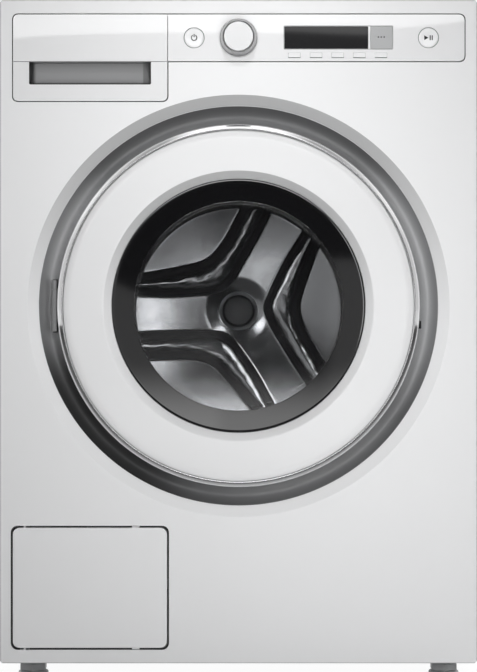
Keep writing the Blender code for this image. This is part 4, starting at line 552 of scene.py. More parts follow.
ENAMEL_PEEL = (0.30, 0.004, 0.00003)
enamel = pale("white_enamel", (0.84, 0.843, 0.85), *ENAMEL_PEEL)
# The sheet carries painted shade on the upper half of the door's bevel and along its outline.
sheet_enamel = pale(
    "sheet_enamel", (0.84, 0.843, 0.85), *ENAMEL_PEEL, ring=(0.2502, 0.2632, 0.5), folded=0.5
)
gloss_white = pale(
    "gloss_white_plastic", (0.82, 0.823, 0.83), 0.30, 0.012, 0.000002, coat=1.0, haze=0.015
)
cap_white = pale("cap_white", (0.77, 0.773, 0.78), 0.36, 0.012, 0.000002)
satin_white = pale("satin_white_plastic", (0.74, 0.743, 0.75), 0.42, 0.0016, 0.00002)
# The door's white carries painted shade on the upper half of its cone.
door_white = pale(
    "door_white", (0.80, 0.803, 0.81), 0.26, 0.012, 0.000004, coat=0.4, ring=(0.1583, 0.1682, 0.42)
)

# %% [markdown]
# The dark ring round the door, the hinge and the door's back are satin mouldings with a fine spark
# texture. Rubber is rougher. The ring's tone carries painted light and shade by place as well, as
# the photograph has it: painted light to the right, to the upper left, to the lower right and at
# the inner top, and painted shade at the lower left and along its outer edge.


# %% Dark mouldings and rubber
def moulding(name, colour, roughness, grain=0.0009, height=0.00002):
    finish = Finish(name)
    place = finish.place()
    spark = finish.noise(place, 1 / grain, 2.0)
    drift = finish.noise(place, 14.0, 3.0)
    return finish.set(
        Base_Color=finish.blend(drift, shaded(colour, 0.93), shaded(colour, 1.07)),
        Roughness=finish.step(drift, 0.3, 0.7, roughness * 0.9, roughness * 1.1),
        Normal=finish.bump(spark, height),
    )


dark_grey = moulding("dark_grey_moulding", (0.17, 0.173, 0.178), 0.34)


PAINTED_LIGHT_SIDES = ((8, 0.72, 1.0, 0.95), (168, 0.80, 1.0, 0.95), (-60, 0.72, 1.0, 0.35))
PAINTED_SHADE_SIDE = (223, 0.80, 0.985, 0.68)
PAINTED_LIGHT_TOP = (90, -0.2, 0.5, 0.4)


def cove_paint(colour):
    """Grey paint with painted light and shade by place. Each side is a direction in degrees, the
    shares between which it fades in, and its amount.
    """
    finish = Finish("cove_grey_painted_light")
    flat, radius = finish.from_axis(DOOR)

    def towards(degrees, start, end, amount):
        turn = math.radians(degrees)
        line = (math.cos(turn), 0, math.sin(turn))
        along = finish.node("VectorMath", {"operation": "DOT_PRODUCT"}, {0: flat, 1: line}, 1)
        return finish.step(finish.share(along, radius), start, end, 0.0, amount)

    # Painted light on three sides and at the inner top; painted shade at the lower left and outer
    # edge.
    painted_light_sides = [towards(*side) for side in PAINTED_LIGHT_SIDES]
    inner_top_light = towards(*PAINTED_LIGHT_TOP) * finish.step(radius, 0.2385, 0.2290)
    outer_edge_shade = finish.step(radius, 0.234, 0.2485, 0.0, 0.38)
    tone = finish.blend(sum(painted_light_sides[1:], painted_light_sides[0]) + inner_top_light, colour, shaded(colour, 2.2))
    tone = finish.blend(towards(*PAINTED_SHADE_SIDE), tone, BLACK)
    tone = finish.blend(outer_edge_shade, tone, BLACK)
    return finish.set(
        Base_Color=tone,
        Metallic=0.35,
        Roughness=finish.step(finish.noise(finish.place(), 9.0), 0.2, 0.8, 0.48, 0.52),
        Normal=finish.bump(finish.noise(finish.place(), 1800.0), 0.00001),
    )


dark_paint = cove_paint((0.235, 0.237, 0.241))
hinge_paint = moulding("hinge_paint", (0.21, 0.212, 0.216), 0.55)
grey_plastic = moulding("grey_moulding", (0.30, 0.305, 0.31), 0.5)
foot_grey = moulding("foot_moulding", (0.36, 0.362, 0.366), 0.42)
key_grey = moulding("grey_key", (0.43, 0.435, 0.44), 0.35)
grey_rubber = moulding("grey_rubber", (0.19, 0.19, 0.195), 0.7, 0.0012, 0.00004)
black_rubber = moulding("black_rubber", (0.025, 0.025, 0.026), 0.65, 0.0012, 0.00004)
motor_grey = moulding("cast_iron", (0.10, 0.10, 0.105), 0.7, 0.003, 0.0002)

# %% [markdown]
# Metals live from what they reflect. Chrome is almost a mirror with a trace of haze. Stainless
# steel shows its rolling direction as long fine scratches. The galvanised sheet behind shows large
# pale crystals, which a Voronoi pattern gives, and the knob's skirt is turned, so its scratches
# run round. Its outermost millimetre is darkened by painted shade, as the photograph has it.


# %% Metals
def metal(name, colour, roughness, wobble=0.1, metallic=1.0):
    finish = Finish(name)
    haze = finish.noise(finish.place(), 45.0, 3.0)
    return finish.set(
        Base_Color=finish.blend(haze, shaded(colour, 0.96), shaded(colour, 1.03)),
        Metallic=metallic,
        Roughness=finish.step(haze, 0.3, 0.7, roughness * (1 - wobble), roughness * (1 + wobble)),
    )


def stainless_steel(name, colour, roughness, grain):
    finish = Finish(name)
    place = finish.place()
    lines = finish.noise(finish.stretched(place, grain), 1.0, 3.0, 0.6)
    cloud = finish.noise(place, 22.0, 3.0)
    return finish.set(
        Base_Color=finish.blend(cloud, shaded(colour, 0.93), shaded(colour, 1.05)),
        Metallic=1.0,
        Roughness=finish.step(lines, 0.3, 0.7, roughness * 0.85, roughness * 1.2),
        Normal=finish.bump(lines, 0.00002),
    )


def galvanised_sheet(name, colour):
    finish = Finish(name)
    place = finish.place()
    crystals = finish.node("TexVoronoi", None, {"Vector": place, "Scale": 70.0}, 1)
    tone = finish.node("RGBToBW", None, {0: crystals})
    return finish.set(
        Base_Color=finish.blend(tone, shaded(colour, 0.88), shaded(colour, 1.1)),
        Metallic=0.9,
        Roughness=finish.step(tone, 0.0, 1.0, 0.36, 0.52),
        Normal=finish.bump(finish.noise(place, 500.0), 0.00003),
    )


def turned_metal(name, colour, centre, rim):
    """Scratches run round an axis from front to back: their noise reads only radius and depth."""
    finish = Finish(name)
    place = finish.place(centre)
    flat = finish.stretched(place, (1, 0, 1))
    radius = finish.node("VectorMath", {"operation": "LENGTH"}, {0: flat}, 1)
    rings = finish.node("CombineXYZ", None, {0: radius, 1: finish.part(place, 1), 2: 0.0})
    lines = finish.noise(rings, 4000.0, 2.0)
    tone = finish.blend(lines, shaded(colour, 0.92), shaded(colour, 1.04))
    # Painted shade darkens the skirt beyond the rim radius.
    return finish.set(
        Base_Color=finish.blend(finish.step(radius, rim, rim + 0.0010, 0.0, 0.55), tone, BLACK),
        Metallic=1.0,
        Roughness=finish.step(lines, 0.3, 0.7, 0.22, 0.34),
        Normal=finish.bump(lines, 0.00001),
    )


KNOB = centre_of("knob_ring")
KNOB_RADIUS = radius_of("knob_ring")
chrome = metal("chrome", (0.80, 0.80, 0.81), 0.07, 0.2)
cast_aluminium = metal("cast_aluminium", (0.62, 0.63, 0.64), 0.45)
zinc = metal("zinc_plate", (0.50, 0.51, 0.52), 0.38)
drum_steel = metal("pressed_steel", (0.52, 0.52, 0.525), 0.125, 0.12, metallic=0.92)
wall_steel = metal("rolled_steel", (0.52, 0.52, 0.525), 0.42, 0.12, metallic=0.4)
hub_steel = metal("hub_steel", (0.42, 0.42, 0.425), 0.5)
stainless = stainless_steel("stainless_sheet", (0.50, 0.50, 0.51), 0.24, (1500.0, 60.0, 60.0))
galvanised = galvanised_sheet("galvanised_sheet", (0.55, 0.57, 0.58))
knob_metal = turned_metal(
    "turned_metal", (0.52, 0.52, 0.525), (KNOB[0], FACE, KNOB[1]), KNOB_RADIUS - 0.0016
)

# %% [markdown]
# The circuit board is hidden unless the machine is opened, yet it still deserves its lacquer: green
# with darker tracks, which a brick pattern sketches.


# %% Circuit board
def circuit_board():
    finish = Finish("circuit_board")
    pattern = {"Vector": finish.place(), "Scale": 90.0, "Mortar Size": 0.08}
    tracks = finish.node("TexBrick", None, pattern, 1)
    return finish.set(
        Base_Color=finish.blend(tracks, (0.03, 0.16, 0.07), (0.05, 0.26, 0.12)),
        Roughness=0.4,
    )


board_green = circuit_board()

# %% [markdown]
# Glass has to do two things at once: mirror a little, and let everything else through. A Mix Shader
# between Transparent and Glossy, driven by Fresnel, does both and lets the lamps light what is
# behind it. The window's outer band is printed black on the back of the glass, so it keeps the same
# gloss on top of a nearly black colour.


# %% Glass
def clear_glass(finish, tint, density):
    """A thin pane: transparent straight on, a mirror at grazing angles."""
    seen_through = finish.node("BsdfTransparent", None, {"Color": tint})
    mirror = finish.node("BsdfGlossy", None, {"Color": (1, 1, 1), "Roughness": 0.02})
    edge_on = finish.node("Fresnel", None, {"IOR": density})
    return finish.node("MixShader", None, {0: edge_on, 1: seen_through, 2: mirror})


def output_of(finish):
    return finish.tree.nodes["Material Output"].inputs["Surface"]


def bowl_glass():
    finish = Finish("bowl_glass")
    finish.feed(output_of(finish), clear_glass(finish, (0.97, 0.972, 0.975), 1.08))
    finish.tree.nodes.remove(finish.shader)
    return finish.holder


def window_glass(inner, outer):
    """The pane, with a printed band between two radii round the door's centre, whose outer 6 mm is
    a little paler: painted light at the rim.
    """
    finish = Finish("window_glass")
    _, radius = finish.from_axis(DOOR)
    printed = finish.step(radius, inner - 0.0002, inner + 0.0002)
    # Painted light: the band is a little paler in its outer 6 mm.
    rim = finish.step(radius, outer - 0.006, outer)
    finish.set(
        Base_Color=finish.blend(rim, (0.004, 0.004, 0.0045), (0.010, 0.010, 0.0105)),
        Roughness=0.04,
        Coat_Weight=1.0,
        Coat_Roughness=0.03,
    )
    band = Value(finish, finish.shader.outputs[0])
    pane = clear_glass(finish, (0.95, 0.953, 0.957), 1.35)
    finish.feed(output_of(finish), finish.node("MixShader", None, {0: printed, 1: pane, 2: band}))
    return finish.holder


PRINT_INNER_RADIUS = 0.1314
WINDOW_RADIUS = radius_of("door_window")
window_finish = window_glass(PRINT_INNER_RADIUS, WINDOW_RADIUS)
bowl_finish = bowl_glass()


# %% [markdown]
# The display is dark glass as well, but nothing shows through it while the machine is off, so a
# glossy near-black is enough.

# %% Display glass
def display_glass():
    finish = Finish("display_glass")
    haze = finish.noise(finish.place(), 300.0)
    return finish.set(
        Base_Color=finish.blend(haze, (0.018, 0.018, 0.019), (0.024, 0.024, 0.025)),
        Roughness=0.03,
        Specular_IOR_Level=0.2,
    )


display_finish = display_glass()

# %% [markdown]
# The front is one pressed sheet with a folded rim. It starts as a cube at full size. Its front
# edge is eased as a press eases it, the back face is taken away, and Solidify gives the sheet its
# thickness. The openings are then cut with three tools: a cylinder for the door, a stepped block
# for the controls and the drawer, and a block for the service flap.

# %% Cutting to an outline
SHEET = 0.001
SEAM = 0.0013
THROUGH = (-0.01, 0.01)
DEEP_THROUGH = (-0.01, 0.02)
DRAWER_ACROSS, DRAWER_DEPTH, DRAWER_HEIGHT = spans("drawer_front")
FASCIA_ACROSS, FASCIA_DEPTH, FASCIA_HEIGHT = spans("control_fascia")
print("drawer", [round(value, 4) for value in DRAWER_ACROSS + DRAWER_HEIGHT])


def outlined(name, outline, depth):
    """A prism: a disc whose rim is pulled out to an outline of (x, z), then extruded backwards."""
    deselect()
    bpy.ops.mesh.primitive_circle_add(
        vertices=len(outline), radius=0.01, fill_type="NGON", rotation=(math.pi / 2, 0, 0)
    )
    obj = name_it(name)
    settle(obj)
    for vert, (x, z) in zip(obj.data.vertices, outline):
        vert.co = (x, at(depth[0]), z)
    open_edit(obj, "FACE")
    bpy.ops.mesh.select_all(action="SELECT")
    move = (0, depth[1] - depth[0], 0)
    bpy.ops.mesh.extrude_region_move(TRANSFORM_OT_translate={"value": move})
    bpy.ops.mesh.select_all(action="SELECT")
    bpy.ops.mesh.normals_make_consistent(inside=False)
    close_edit()
    return obj


def corners_of(across, height):
    (left, right), (bottom, top) = across, height
    return [(left, bottom), (right, bottom), (right, top), (left, top)]


def control_opening(gap=SEAM, depth=THROUGH):
    """The stepped opening for the drawer and the control strip. Its inner corner stays sharp."""
    left, right = DRAWER_ACROSS[0] - gap, FASCIA_ACROSS[1] + gap
    step, top = DRAWER_ACROSS[1] + gap, FASCIA_HEIGHT[1] + gap
    low, sill = DRAWER_HEIGHT[0] - gap, FASCIA_HEIGHT[0] - gap
    corners = [(left, low), (step, low), (step, sill), (right, sill), (right, top), (left, top)]
    radii = [radius + gap - SEAM for radius in (0.0082, 0.0082, 0, 0.0086, 0.0086, 0.0082)]
    radii[2] = 0.0006
    return outlined("control_opening", rounded(corners, radii, steps=8)[:-1], depth)


# %% [markdown]
# Round the door the sheet turns inwards in a narrow bevel, 13 mm wide and 8 mm deep. It is turned
# on the lathe with as many sides as the hole, so that both loops weld into one skin. Dark strips
# behind the seams stand in for the shade in them, and keep the view from passing through them into
# the cabinet.

# %% Front panel
BEVEL_OUTER = 0.263
BEVEL_INNER = 0.250
BEVEL_DEPTH = 0.008
BEVEL_LIP = 0.0009
FLAP_ACROSS = (-0.2817, -0.0892)
FLAP_HEIGHT = (0.0418, 0.1917)
FLAP_SIDES = (("top", FLAP_HEIGHT[1], 1), ("bottom", FLAP_HEIGHT[0], -1))
FLAP_SEAM = 0.0025
FLAP_ROUND = 0.0086
PIN_X = FLAP_ACROSS[0] + 0.0147
CLIP_X = -0.1283


def front_bevel():
    edge = BEVEL_OUTER + BEVEL_LIP
    profile = [
        (edge, 0.0),
        (BEVEL_OUTER + 0.0004, 0.00008),
        (BEVEL_OUTER, 0.0003),
        (BEVEL_OUTER - 0.0005, 0.0007),
        (BEVEL_INNER + 0.0006, BEVEL_DEPTH - 0.0006),
        (BEVEL_INNER, BEVEL_DEPTH - 0.0001),
        (BEVEL_INNER - 0.0001, BEVEL_DEPTH + 0.0006),
        (BEVEL_INNER + 0.0008, BEVEL_DEPTH + 0.0006),
        (edge + 0.0002, SHEET),
    ]
    return revolve("front_bevel", profile)


def flap_eyes():
    """Two small eyes behind the panel's edge, in which the flap's pins turn."""
    eyes = []
    for side, edge, outward in FLAP_SIDES:
        near = edge + outward * (FLAP_SEAM + 0.0004)
        span = ordered(near, near + outward * 0.006)
        depth = (SHEET * 0.9, 0.0065)
        eyes.append(slab(f"flap_eye_{side}", around(PIN_X, 0.005), depth, span, edge=0.0006))
    return eyes


def front_panel():
    across, depth, height = spans("front_panel")
    panel = slab("front_sheet", across, (0, depth[1]), height, corner=0.004, corner_steps=6)
    open_edit(panel, "EDGE")
    select_where(panel, "edges", lambda part: middle_of(part).y < at(1e-5) and not part.is_wire)
    bpy.ops.mesh.bevel(offset=0.0013, segments=4, affect="EDGES")
    bpy.ops.mesh.select_mode(type="FACE")
    select_where(panel, "faces", lambda part: part.normal.y > 0.9)
    bpy.ops.mesh.delete(type="FACE")
    close_edit()
    modify(panel, "SOLIDIFY", thickness=SHEET, offset=-1)
    hole = rod("door_hole", BEVEL_OUTER + BEVEL_LIP, DOOR[0], DOOR[1], THROUGH, ROUND)
    flap_room = (widened(FLAP_ACROSS, FLAP_SEAM), THROUGH, widened(FLAP_HEIGHT, FLAP_SEAM))
    cut_out(panel, hole, control_opening(), slab("service_hole", *flap_room, corner=FLAP_ROUND))
    merge_into(panel, front_bevel(), *flap_eyes())
    mend(panel)
    return hand_over(panel, sheet_enamel, "cabinet", ["front_panel"], weighted=True)


def seam_shade_backing():
    """The dark strip behind the seam round the controls: painted shade for the seam."""
    backing = control_opening(SEAM + 0.003, (0.0012, 0.005))
    cut_out(backing, control_opening(0.0006, DEEP_THROUGH))
    backing.name = "seam_shade_backing"
    return hand_over(backing, black_rubber, "cabinet", ["front_panel"])


front_panel()
seam_shade_backing()

# %% [markdown]
# Between the panel and the door lies a dark ring, pressed into a hollow like a dish's rim. Its
# hollow gives part of the photograph's soft sweep from pale to dark, and the painted light and
# shade of its paint give the rest, so its curve gets many steps. Its inner wall and the landing
# behind it are seen only when the door is open. Slots let the hinge's ears and the latch's hook
# through, and a notch beside the catch is filled in black: painted shade for the notch.

# %% Door surround
COVE_OUTER, COVE_INNER = 0.2495, 0.2275
COVE_EDGE_DEPTHS = (0.0088, 0.0130)
COVE_SAG = 0.011
COVE_STEPS = 24
SURROUND_WALL = 0.0025
LANDING_DEPTH = 0.030
LANDING_INNER = 0.172
HINGE_X = -0.2302
EAR_START, EAR_HEIGHT, EAR_ROOM = 0.0205, 0.0115, 0.0015
HOOK_Z = DOOR[1] - 0.0237


def cove_depth(radius):
    share = (COVE_OUTER - radius) / (COVE_OUTER - COVE_INNER)
    edge = COVE_EDGE_DEPTHS[0] + (COVE_EDGE_DEPTHS[1] - COVE_EDGE_DEPTHS[0]) * share
    return edge + COVE_SAG * math.sin(math.pi * share)


def surround_openings():
    slots = []
    for side in (1, -1):
        near, far = side * (EAR_START - EAR_ROOM), side * (EAR_START + EAR_HEIGHT + EAR_ROOM)
        span = (DOOR[1] + min(near, far), DOOR[1] + max(near, far))
        slots.append(slab(f"ear_slot_{side}", around(HINGE_X, 0.0035), (0.010, 0.04), span))
    slots.append(slab("hook_slot", (0.190, 0.2095), (0.028, 0.036), around(HOOK_Z, 0.012)))
    slots.append(slab("grip_notch", (0.2262, 0.2292), (0.010, 0.021), around(HOOK_Z, 0.005)))
    return slots


def door_surround():
    radii = [
        COVE_OUTER - (COVE_OUTER - COVE_INNER) * step / COVE_STEPS for step in range(COVE_STEPS + 1)
    ]
    hollow = [(radius, cove_depth(radius)) for radius in radii]
    behind = [
        (radius + SURROUND_WALL * 0.3, depth + SURROUND_WALL) for radius, depth in hollow[3:-5]
    ]
    profile = [
        (0.268, 0.0115),
        (0.2508, 0.0115),
        (0.2506, 0.0092),
        (0.2502, 0.0087),
        *hollow,
        (COVE_INNER - 0.0001, COVE_EDGE_DEPTHS[1] + 0.0006),
        (COVE_INNER - 0.0001, LANDING_DEPTH - 0.002),
        (COVE_INNER - 0.002, LANDING_DEPTH),
        (LANDING_INNER + 0.0006, LANDING_DEPTH),
        (LANDING_INNER, LANDING_DEPTH + 0.0006),
        (LANDING_INNER, LANDING_DEPTH + SURROUND_WALL),
        (COVE_INNER + SURROUND_WALL, LANDING_DEPTH + SURROUND_WALL),
        *reversed(behind),
        (0.252, 0.0140),
        (0.268, 0.0140),
    ]
    ring = revolve("door_ring", [*profile, profile[0]])
    cut_out(ring, *surround_openings())
    return hand_over(ring, dark_paint, "cabinet", ["door_surround"])


# A black fill in the notch beside the catch: painted shade for the notch.
def notch_shadow_fill():
    lining = slab("notch_shadow_fill", (0.2263, 0.2291), (0.0118, 0.0185), around(HOOK_Z, 0.0048))
    soften(lining, 0.0004, 2)
    return hand_over(lining, black_rubber, "cabinet", ["door_surround"])


door_surround()
notch_shadow_fill()

# %% [markdown]
# The door's edge is a chrome bead that slopes outwards from its crest. A slope mirrors one side of
# the room: the bright ceiling where it looks up, and the dim floor where it looks down.

# %% Chrome ring
CHROME_OUTER, CHROME_INNER = 0.2260, 0.2192
CHROME_STAND, CHROME_BACK = -0.006, 0.002


def chrome_ring():
    crest = CHROME_INNER + 0.0012
    drop = 0.0042
    slope = [
        (crest + (CHROME_OUTER - crest) * share, CHROME_STAND + drop * share**1.35)
        for share in (step / 14 for step in range(15))
    ]
    edge = CHROME_STAND + drop
    profile = [
        (CHROME_INNER, CHROME_BACK),
        (CHROME_INNER, CHROME_STAND + 0.0010),
        (CHROME_INNER + 0.0003, CHROME_STAND + 0.0004),
        (CHROME_INNER + 0.0007, CHROME_STAND + 0.0001),
        *slope,
        (CHROME_OUTER + 0.00005, edge + 0.0006),
        (CHROME_OUTER, CHROME_BACK),
    ]
    ring = revolve("chrome_bead", [*profile, profile[0]], sides=384)
    return hand_over(ring, chrome, "door", ["chrome_ring"])


chrome_ring()

# %% [markdown]
# The white face of the door is a broad flat ring. It rolls off softly towards the chrome, and
# towards the window it falls away in a cone: dark above, bright below, and the cone's upper half
# carries painted shade as well.

# %% Door panel
PANEL_FACE = -0.0055
PANEL_OUTER = 0.2188
CONE_OUTER, CONE_INNER = 0.1685, 0.1588
PANEL_BACK = 0.0018


def door_panel():
    corners = [
        (PANEL_OUTER, PANEL_BACK),
        (PANEL_OUTER, PANEL_FACE + 0.0026),
        (0.2128, PANEL_FACE),
        (CONE_OUTER, PANEL_FACE),
        (CONE_INNER, 0.0045),
        (CONE_INNER, 0.0075),
        (0.1640, 0.0075),
        (0.1705, PANEL_BACK),
    ]
    radii = [0.0003, 0.0012, 0.0045, 0.0016, 0.0006, 0.0004, 0.0004, 0.0004]
    panel = revolve("door_face", rounded(corners, radii, steps=8))
    return hand_over(panel, door_white, "door", ["door_panel"], degrees=50, weighted=True)


door_panel()

# %% [markdown]
# The window is a flat pane, and behind it a deep glass bowl keeps the washing off the door. Both
# have real thickness, so that their edges show as the fine double lines that the photograph has. A
# low ridge runs round the pane's back, just inside the print.

# %% Window and bowl
BOWL_FLANGE_BACK = 0.0151
BOWL_NECK = 0.150
BOWL_WALL = 0.0035


def door_window():
    front, back = depths_of("door_window")
    rim = WINDOW_RADIUS
    profile = [
        (0, front),
        (PRINT_INNER_RADIUS, front),
        (rim - 0.0030, front),
        (rim - 0.0008, front),
        (rim - 0.0002, front + 0.0002),
        (rim, front + 0.0008),
        (rim, back - 0.0004),
        (rim - 0.0004, back),
        (PRINT_INNER_RADIUS, back),
        (PRINT_INNER_RADIUS - 0.0005, back + 0.0010),
        (PRINT_INNER_RADIUS - 0.0014, back + 0.0014),
        (PRINT_INNER_RADIUS - 0.0040, back + 0.0014),
        (PRINT_INNER_RADIUS - 0.0049, back + 0.0010),
        (PRINT_INNER_RADIUS - 0.0054, back),
        (0, back),
    ]
    pane = revolve("window_pane", profile)
    return hand_over(pane, window_finish, "door", ["door_window"], weighted=True)


def bowl_wall(neck_radius, start, tip, steps=30):
    """A bowl's outline: a long neck that draws in slowly, then a round shoulder and a flat end."""
    line = []
    for step in range(steps + 1):
        turn = math.pi / 2 * step / steps
        radius = neck_radius * math.cos(turn) ** 0.42
        line.append((radius, start + (tip - start) * math.sin(turn) ** 1.6))
    line[-1] = (0, tip)
    return line


def door_bowl():
    front, tip = depths_of("door_bowl")
    flange, neck = radius_of("door_bowl"), BOWL_FLANGE_BACK
    outside = bowl_wall(BOWL_NECK, neck + 0.001, tip)
    inside = bowl_wall(BOWL_NECK - BOWL_WALL, front + 0.002, tip - BOWL_WALL)
    profile = [
        *reversed(inside),
        (BOWL_NECK - BOWL_WALL + 0.0015, front),
        (flange - 0.0006, front),
        (flange, front + 0.0006),
        (flange, neck - 0.0006),
        (flange - 0.0006, neck),
        (BOWL_NECK + 0.0015, neck),
        *outside,
    ]
    bowl = revolve("glass_bowl", profile)
    return hand_over(bowl, bowl_finish, "door", ["door_bowl"])


door_window()
door_bowl()

# %% [markdown]
# The frame behind the white ring is what a hand meets when the door is open: a dark moulding with a
# round shoulder, eight screws and the seat in which the bowl's flange lies.

# %% Door frame
FRAME_BACK = 0.024
FRAME_BODY = 0.2045
SCREWS = 8
SCREW_CIRCLE = 0.1855


def frame_screw(number):
    turn = 2 * math.pi * (number + 0.5) / SCREWS
    profile = [
        (0.0062, FRAME_BACK - 0.0004),
        (0.0062, FRAME_BACK + 0.0002),
        (0.0054, FRAME_BACK + 0.0004),
        (0.0040, FRAME_BACK - 0.0003),
        (0.0030, FRAME_BACK - 0.0003),
        (0.0022, FRAME_BACK - 0.0009),
        (0, FRAME_BACK - 0.0009),
    ]
    place = (DOOR[0] + SCREW_CIRCLE * math.cos(turn), DOOR[1] + SCREW_CIRCLE * math.sin(turn))
    return revolve(f"screw_{number}", profile, centre=place, sides=24)


def door_frame():
    rim = radius_of("door_frame")
    corners = [
        (rim, 0.0023),
        (rim, 0.0047),
        (FRAME_BODY, 0.0047),
        (FRAME_BODY, FRAME_BACK),
        (0.1667, FRAME_BACK),
        (0.1667, 0.0118),
        (0.1535, 0.0118),
        (0.1535, 0.0093),
        (0.1588, 0.0093),
        (0.1593, 0.0080),
        (0.1645, 0.0080),
        (0.1710, 0.0023),
    ]
    radii = [0.0004, 0.0005, 0.0014, 0.0040, 0.0012, 0.0004, 0.0004, 0, 0, 0, 0, 0]
    frame_ring = revolve("door_back", rounded(corners, radii, steps=6))
    merge_into(frame_ring, *(frame_screw(number) for number in range(SCREWS)))
    return hand_over(frame_ring, dark_grey, "door", ["door_frame"])


door_frame()

# %% [markdown]
# The drum's back wall is one embossed sheet, and its relief is what the window shows. Two circles
# are bridged with many cuts, which gives rings of small faces from the hub to the wall. Each point
# is then pressed forwards by a rule: three bent ribs rise from the sheet with soft shoulders and
# faint dents, and the floor between them is dished towards the window. Setting heights by a rule is
# the one thing that modelling by hand can't do evenly. A rib's outline is drawn once, in shares of
# the drum's radius, and each point of the sheet is folded into the first third to meet it.

# %% Drum back
DRUM_RADIUS = radius_of("drum_back")
HUB_FRONT = depths_of("drum_back")[0]
HUB_RADIUS = 0.022
PLATE_RADIUS = DRUM_RADIUS - 0.0015
PLATE_DEPTH = 0.4285
PLATE_SIDES, PLATE_RINGS = 432, 148
RIB_OUTLINE = (
    (0.48, 0.63), (0.37, 0.45), (0.26, 0.27), (0.17, 0.07), (0.175, -0.05), (0.28, -0.24),
    (0.395, -0.42), (0.51, -0.58), (0.585, -0.585), (0.63, -0.51), (0.51, -0.30), (0.41, -0.13),
    (0.365, 0.014), (0.40, 0.16), (0.47, 0.36), (0.56, 0.60), (0.525, 0.65),
)
RIB_RISE, RIB_SHOULDER = 0.0046, 0.021
BEAD_RISE, BEAD_WIDTH, BEAD_INSET = 0.0004, 0.0016, 0.0006
DENT_RISE, DENT_PITCH = 0.00018, 0.032
DISH_RISE, DISH_RADIUS, DISH_FADE = 0.0075, 0.150, 0.055
HUB_SINK, HUB_EDGE, EDGE_FADE = 0.0022, 0.054, 0.032
RIM_SINK, RIM_EDGE = 0.004, 0.205


def smooth_loop(points, cuts=10):
    """A closed curve through the points, by Catmull and Rom's rule."""
    count = len(points)
    line = []
    for i in range(count):
        before, here, after, beyond = (np.array(points[(i + k) % count]) for k in (-1, 0, 1, 2))
        for cut in range(cuts):
            t = cut / cuts
            line.append(
                0.5
                * (
                    2 * here
                    + (after - before) * t
                    + (2 * before - 5 * here + 4 * after - beyond) * t**2
                    + (3 * here - before - 3 * after + beyond) * t**3
                )
            )
    return np.array(line)


def distance_inside(points, loop):
    """How far each point lies inside a closed loop. It is below zero outside."""
    starts, ends = loop, np.roll(loop, -1, axis=0)
    nearest = np.full(len(points), 1e9)
    inside = np.zeros(len(points), dtype=bool)
    for start, end in zip(starts, ends):
        run = end - start
        share = np.clip(((points - start) @ run) / (run @ run), 0, 1)
        away = np.linalg.norm(points - (start + share[:, None] * run), axis=1)
        nearest = np.minimum(nearest, away)
        crosses = (start[1] > points[:, 1]) != (end[1] > points[:, 1])
        with np.errstate(divide="ignore", invalid="ignore"):
            at_x = start[0] + (points[:, 1] - start[1]) * run[0] / run[1]
        inside ^= crosses & (points[:, 0] < at_x)
    return np.where(inside, nearest, -nearest)


def smooth_step(values):
    values = np.clip(values, 0, 1)
    return values**3 * (values * (values * 6 - 15) + 10)


def emboss(obj, loop):
    """Presses the ribs and the dished floor into the sheet."""
    places = np.empty(len(obj.data.vertices) * 3)
    obj.data.vertices.foreach_get("co", places)
    places = places.reshape(-1, 3)
    across, up = places[:, 0] - DOOR[0], places[:, 2] - DOOR[1]
    radius = np.hypot(across, up)
    turn = np.arctan2(up, across)
    third = 2 * math.pi / 3
    folded = turn - np.round(turn / third) * third
    sector = np.stack([radius * np.cos(folded), radius * np.sin(folded)], axis=1)
    depth_inside = distance_inside(sector, loop)
    share = np.clip(depth_inside / RIB_SHOULDER, 0, 1)
    rib = 1 - (1 - share) ** 2
    bead = BEAD_RISE * np.exp(-(((depth_inside - BEAD_INSET) / BEAD_WIDTH) ** 2))
    wave = 2 * math.pi / DENT_PITCH
    dents = DENT_RISE * share * np.sin(across * wave) * np.sin(up * wave)
    rim = smooth_step((radius - RIM_EDGE) / EDGE_FADE)
    hub = smooth_step((HUB_EDGE - radius) / EDGE_FADE)
    dish = np.clip(radius / DISH_RADIUS, 0, 1) ** 2
    dish = dish * (1 - smooth_step((radius - DISH_RADIUS) / DISH_FADE))
    rise = RIB_RISE * rib + bead + dents - HUB_SINK * hub + DISH_RISE * dish - RIM_SINK * rim
    places[:, 1] -= rise
    obj.data.vertices.foreach_set("co", places.ravel())
    obj.data.update()
    print("ribs and floor rise up to", round(float(rise.max()), 4))


def drum_back():
    middle = (DOOR[0], at(PLATE_DEPTH), DOOR[1])
    deselect()
    bpy.ops.mesh.primitive_circle_add(
        vertices=PLATE_SIDES, radius=PLATE_RADIUS, location=middle, rotation=(math.pi / 2, 0, 0)
    )
    sheet = name_it("drum_wall")
    settle(sheet)
    open_edit(sheet)
    bpy.ops.mesh.select_all(action="SELECT")
    bpy.ops.mesh.duplicate()
    size = HUB_RADIUS / PLATE_RADIUS
    bpy.ops.transform.resize(value=(size, 1, size), center_override=middle)
    bpy.ops.mesh.select_all(action="SELECT")
    bpy.ops.mesh.bridge_edge_loops(number_cuts=PLATE_RINGS, interpolation="LINEAR")
    close_edit()
    mend(sheet)
    open_edit(sheet, "FACE")
    bpy.ops.mesh.select_all(action="SELECT")
    shape = bmesh.from_edit_mesh(sheet.data)
    shape.faces.ensure_lookup_table()
    if shape.faces[0].normal.y > 0:
        bpy.ops.mesh.flip_normals()
    close_edit()
    emboss(sheet, smooth_loop([(x * DRUM_RADIUS, z * DRUM_RADIUS) for x, z in RIB_OUTLINE]))
    return hand_over(sheet, drum_steel, "drum", ["drum_back"])


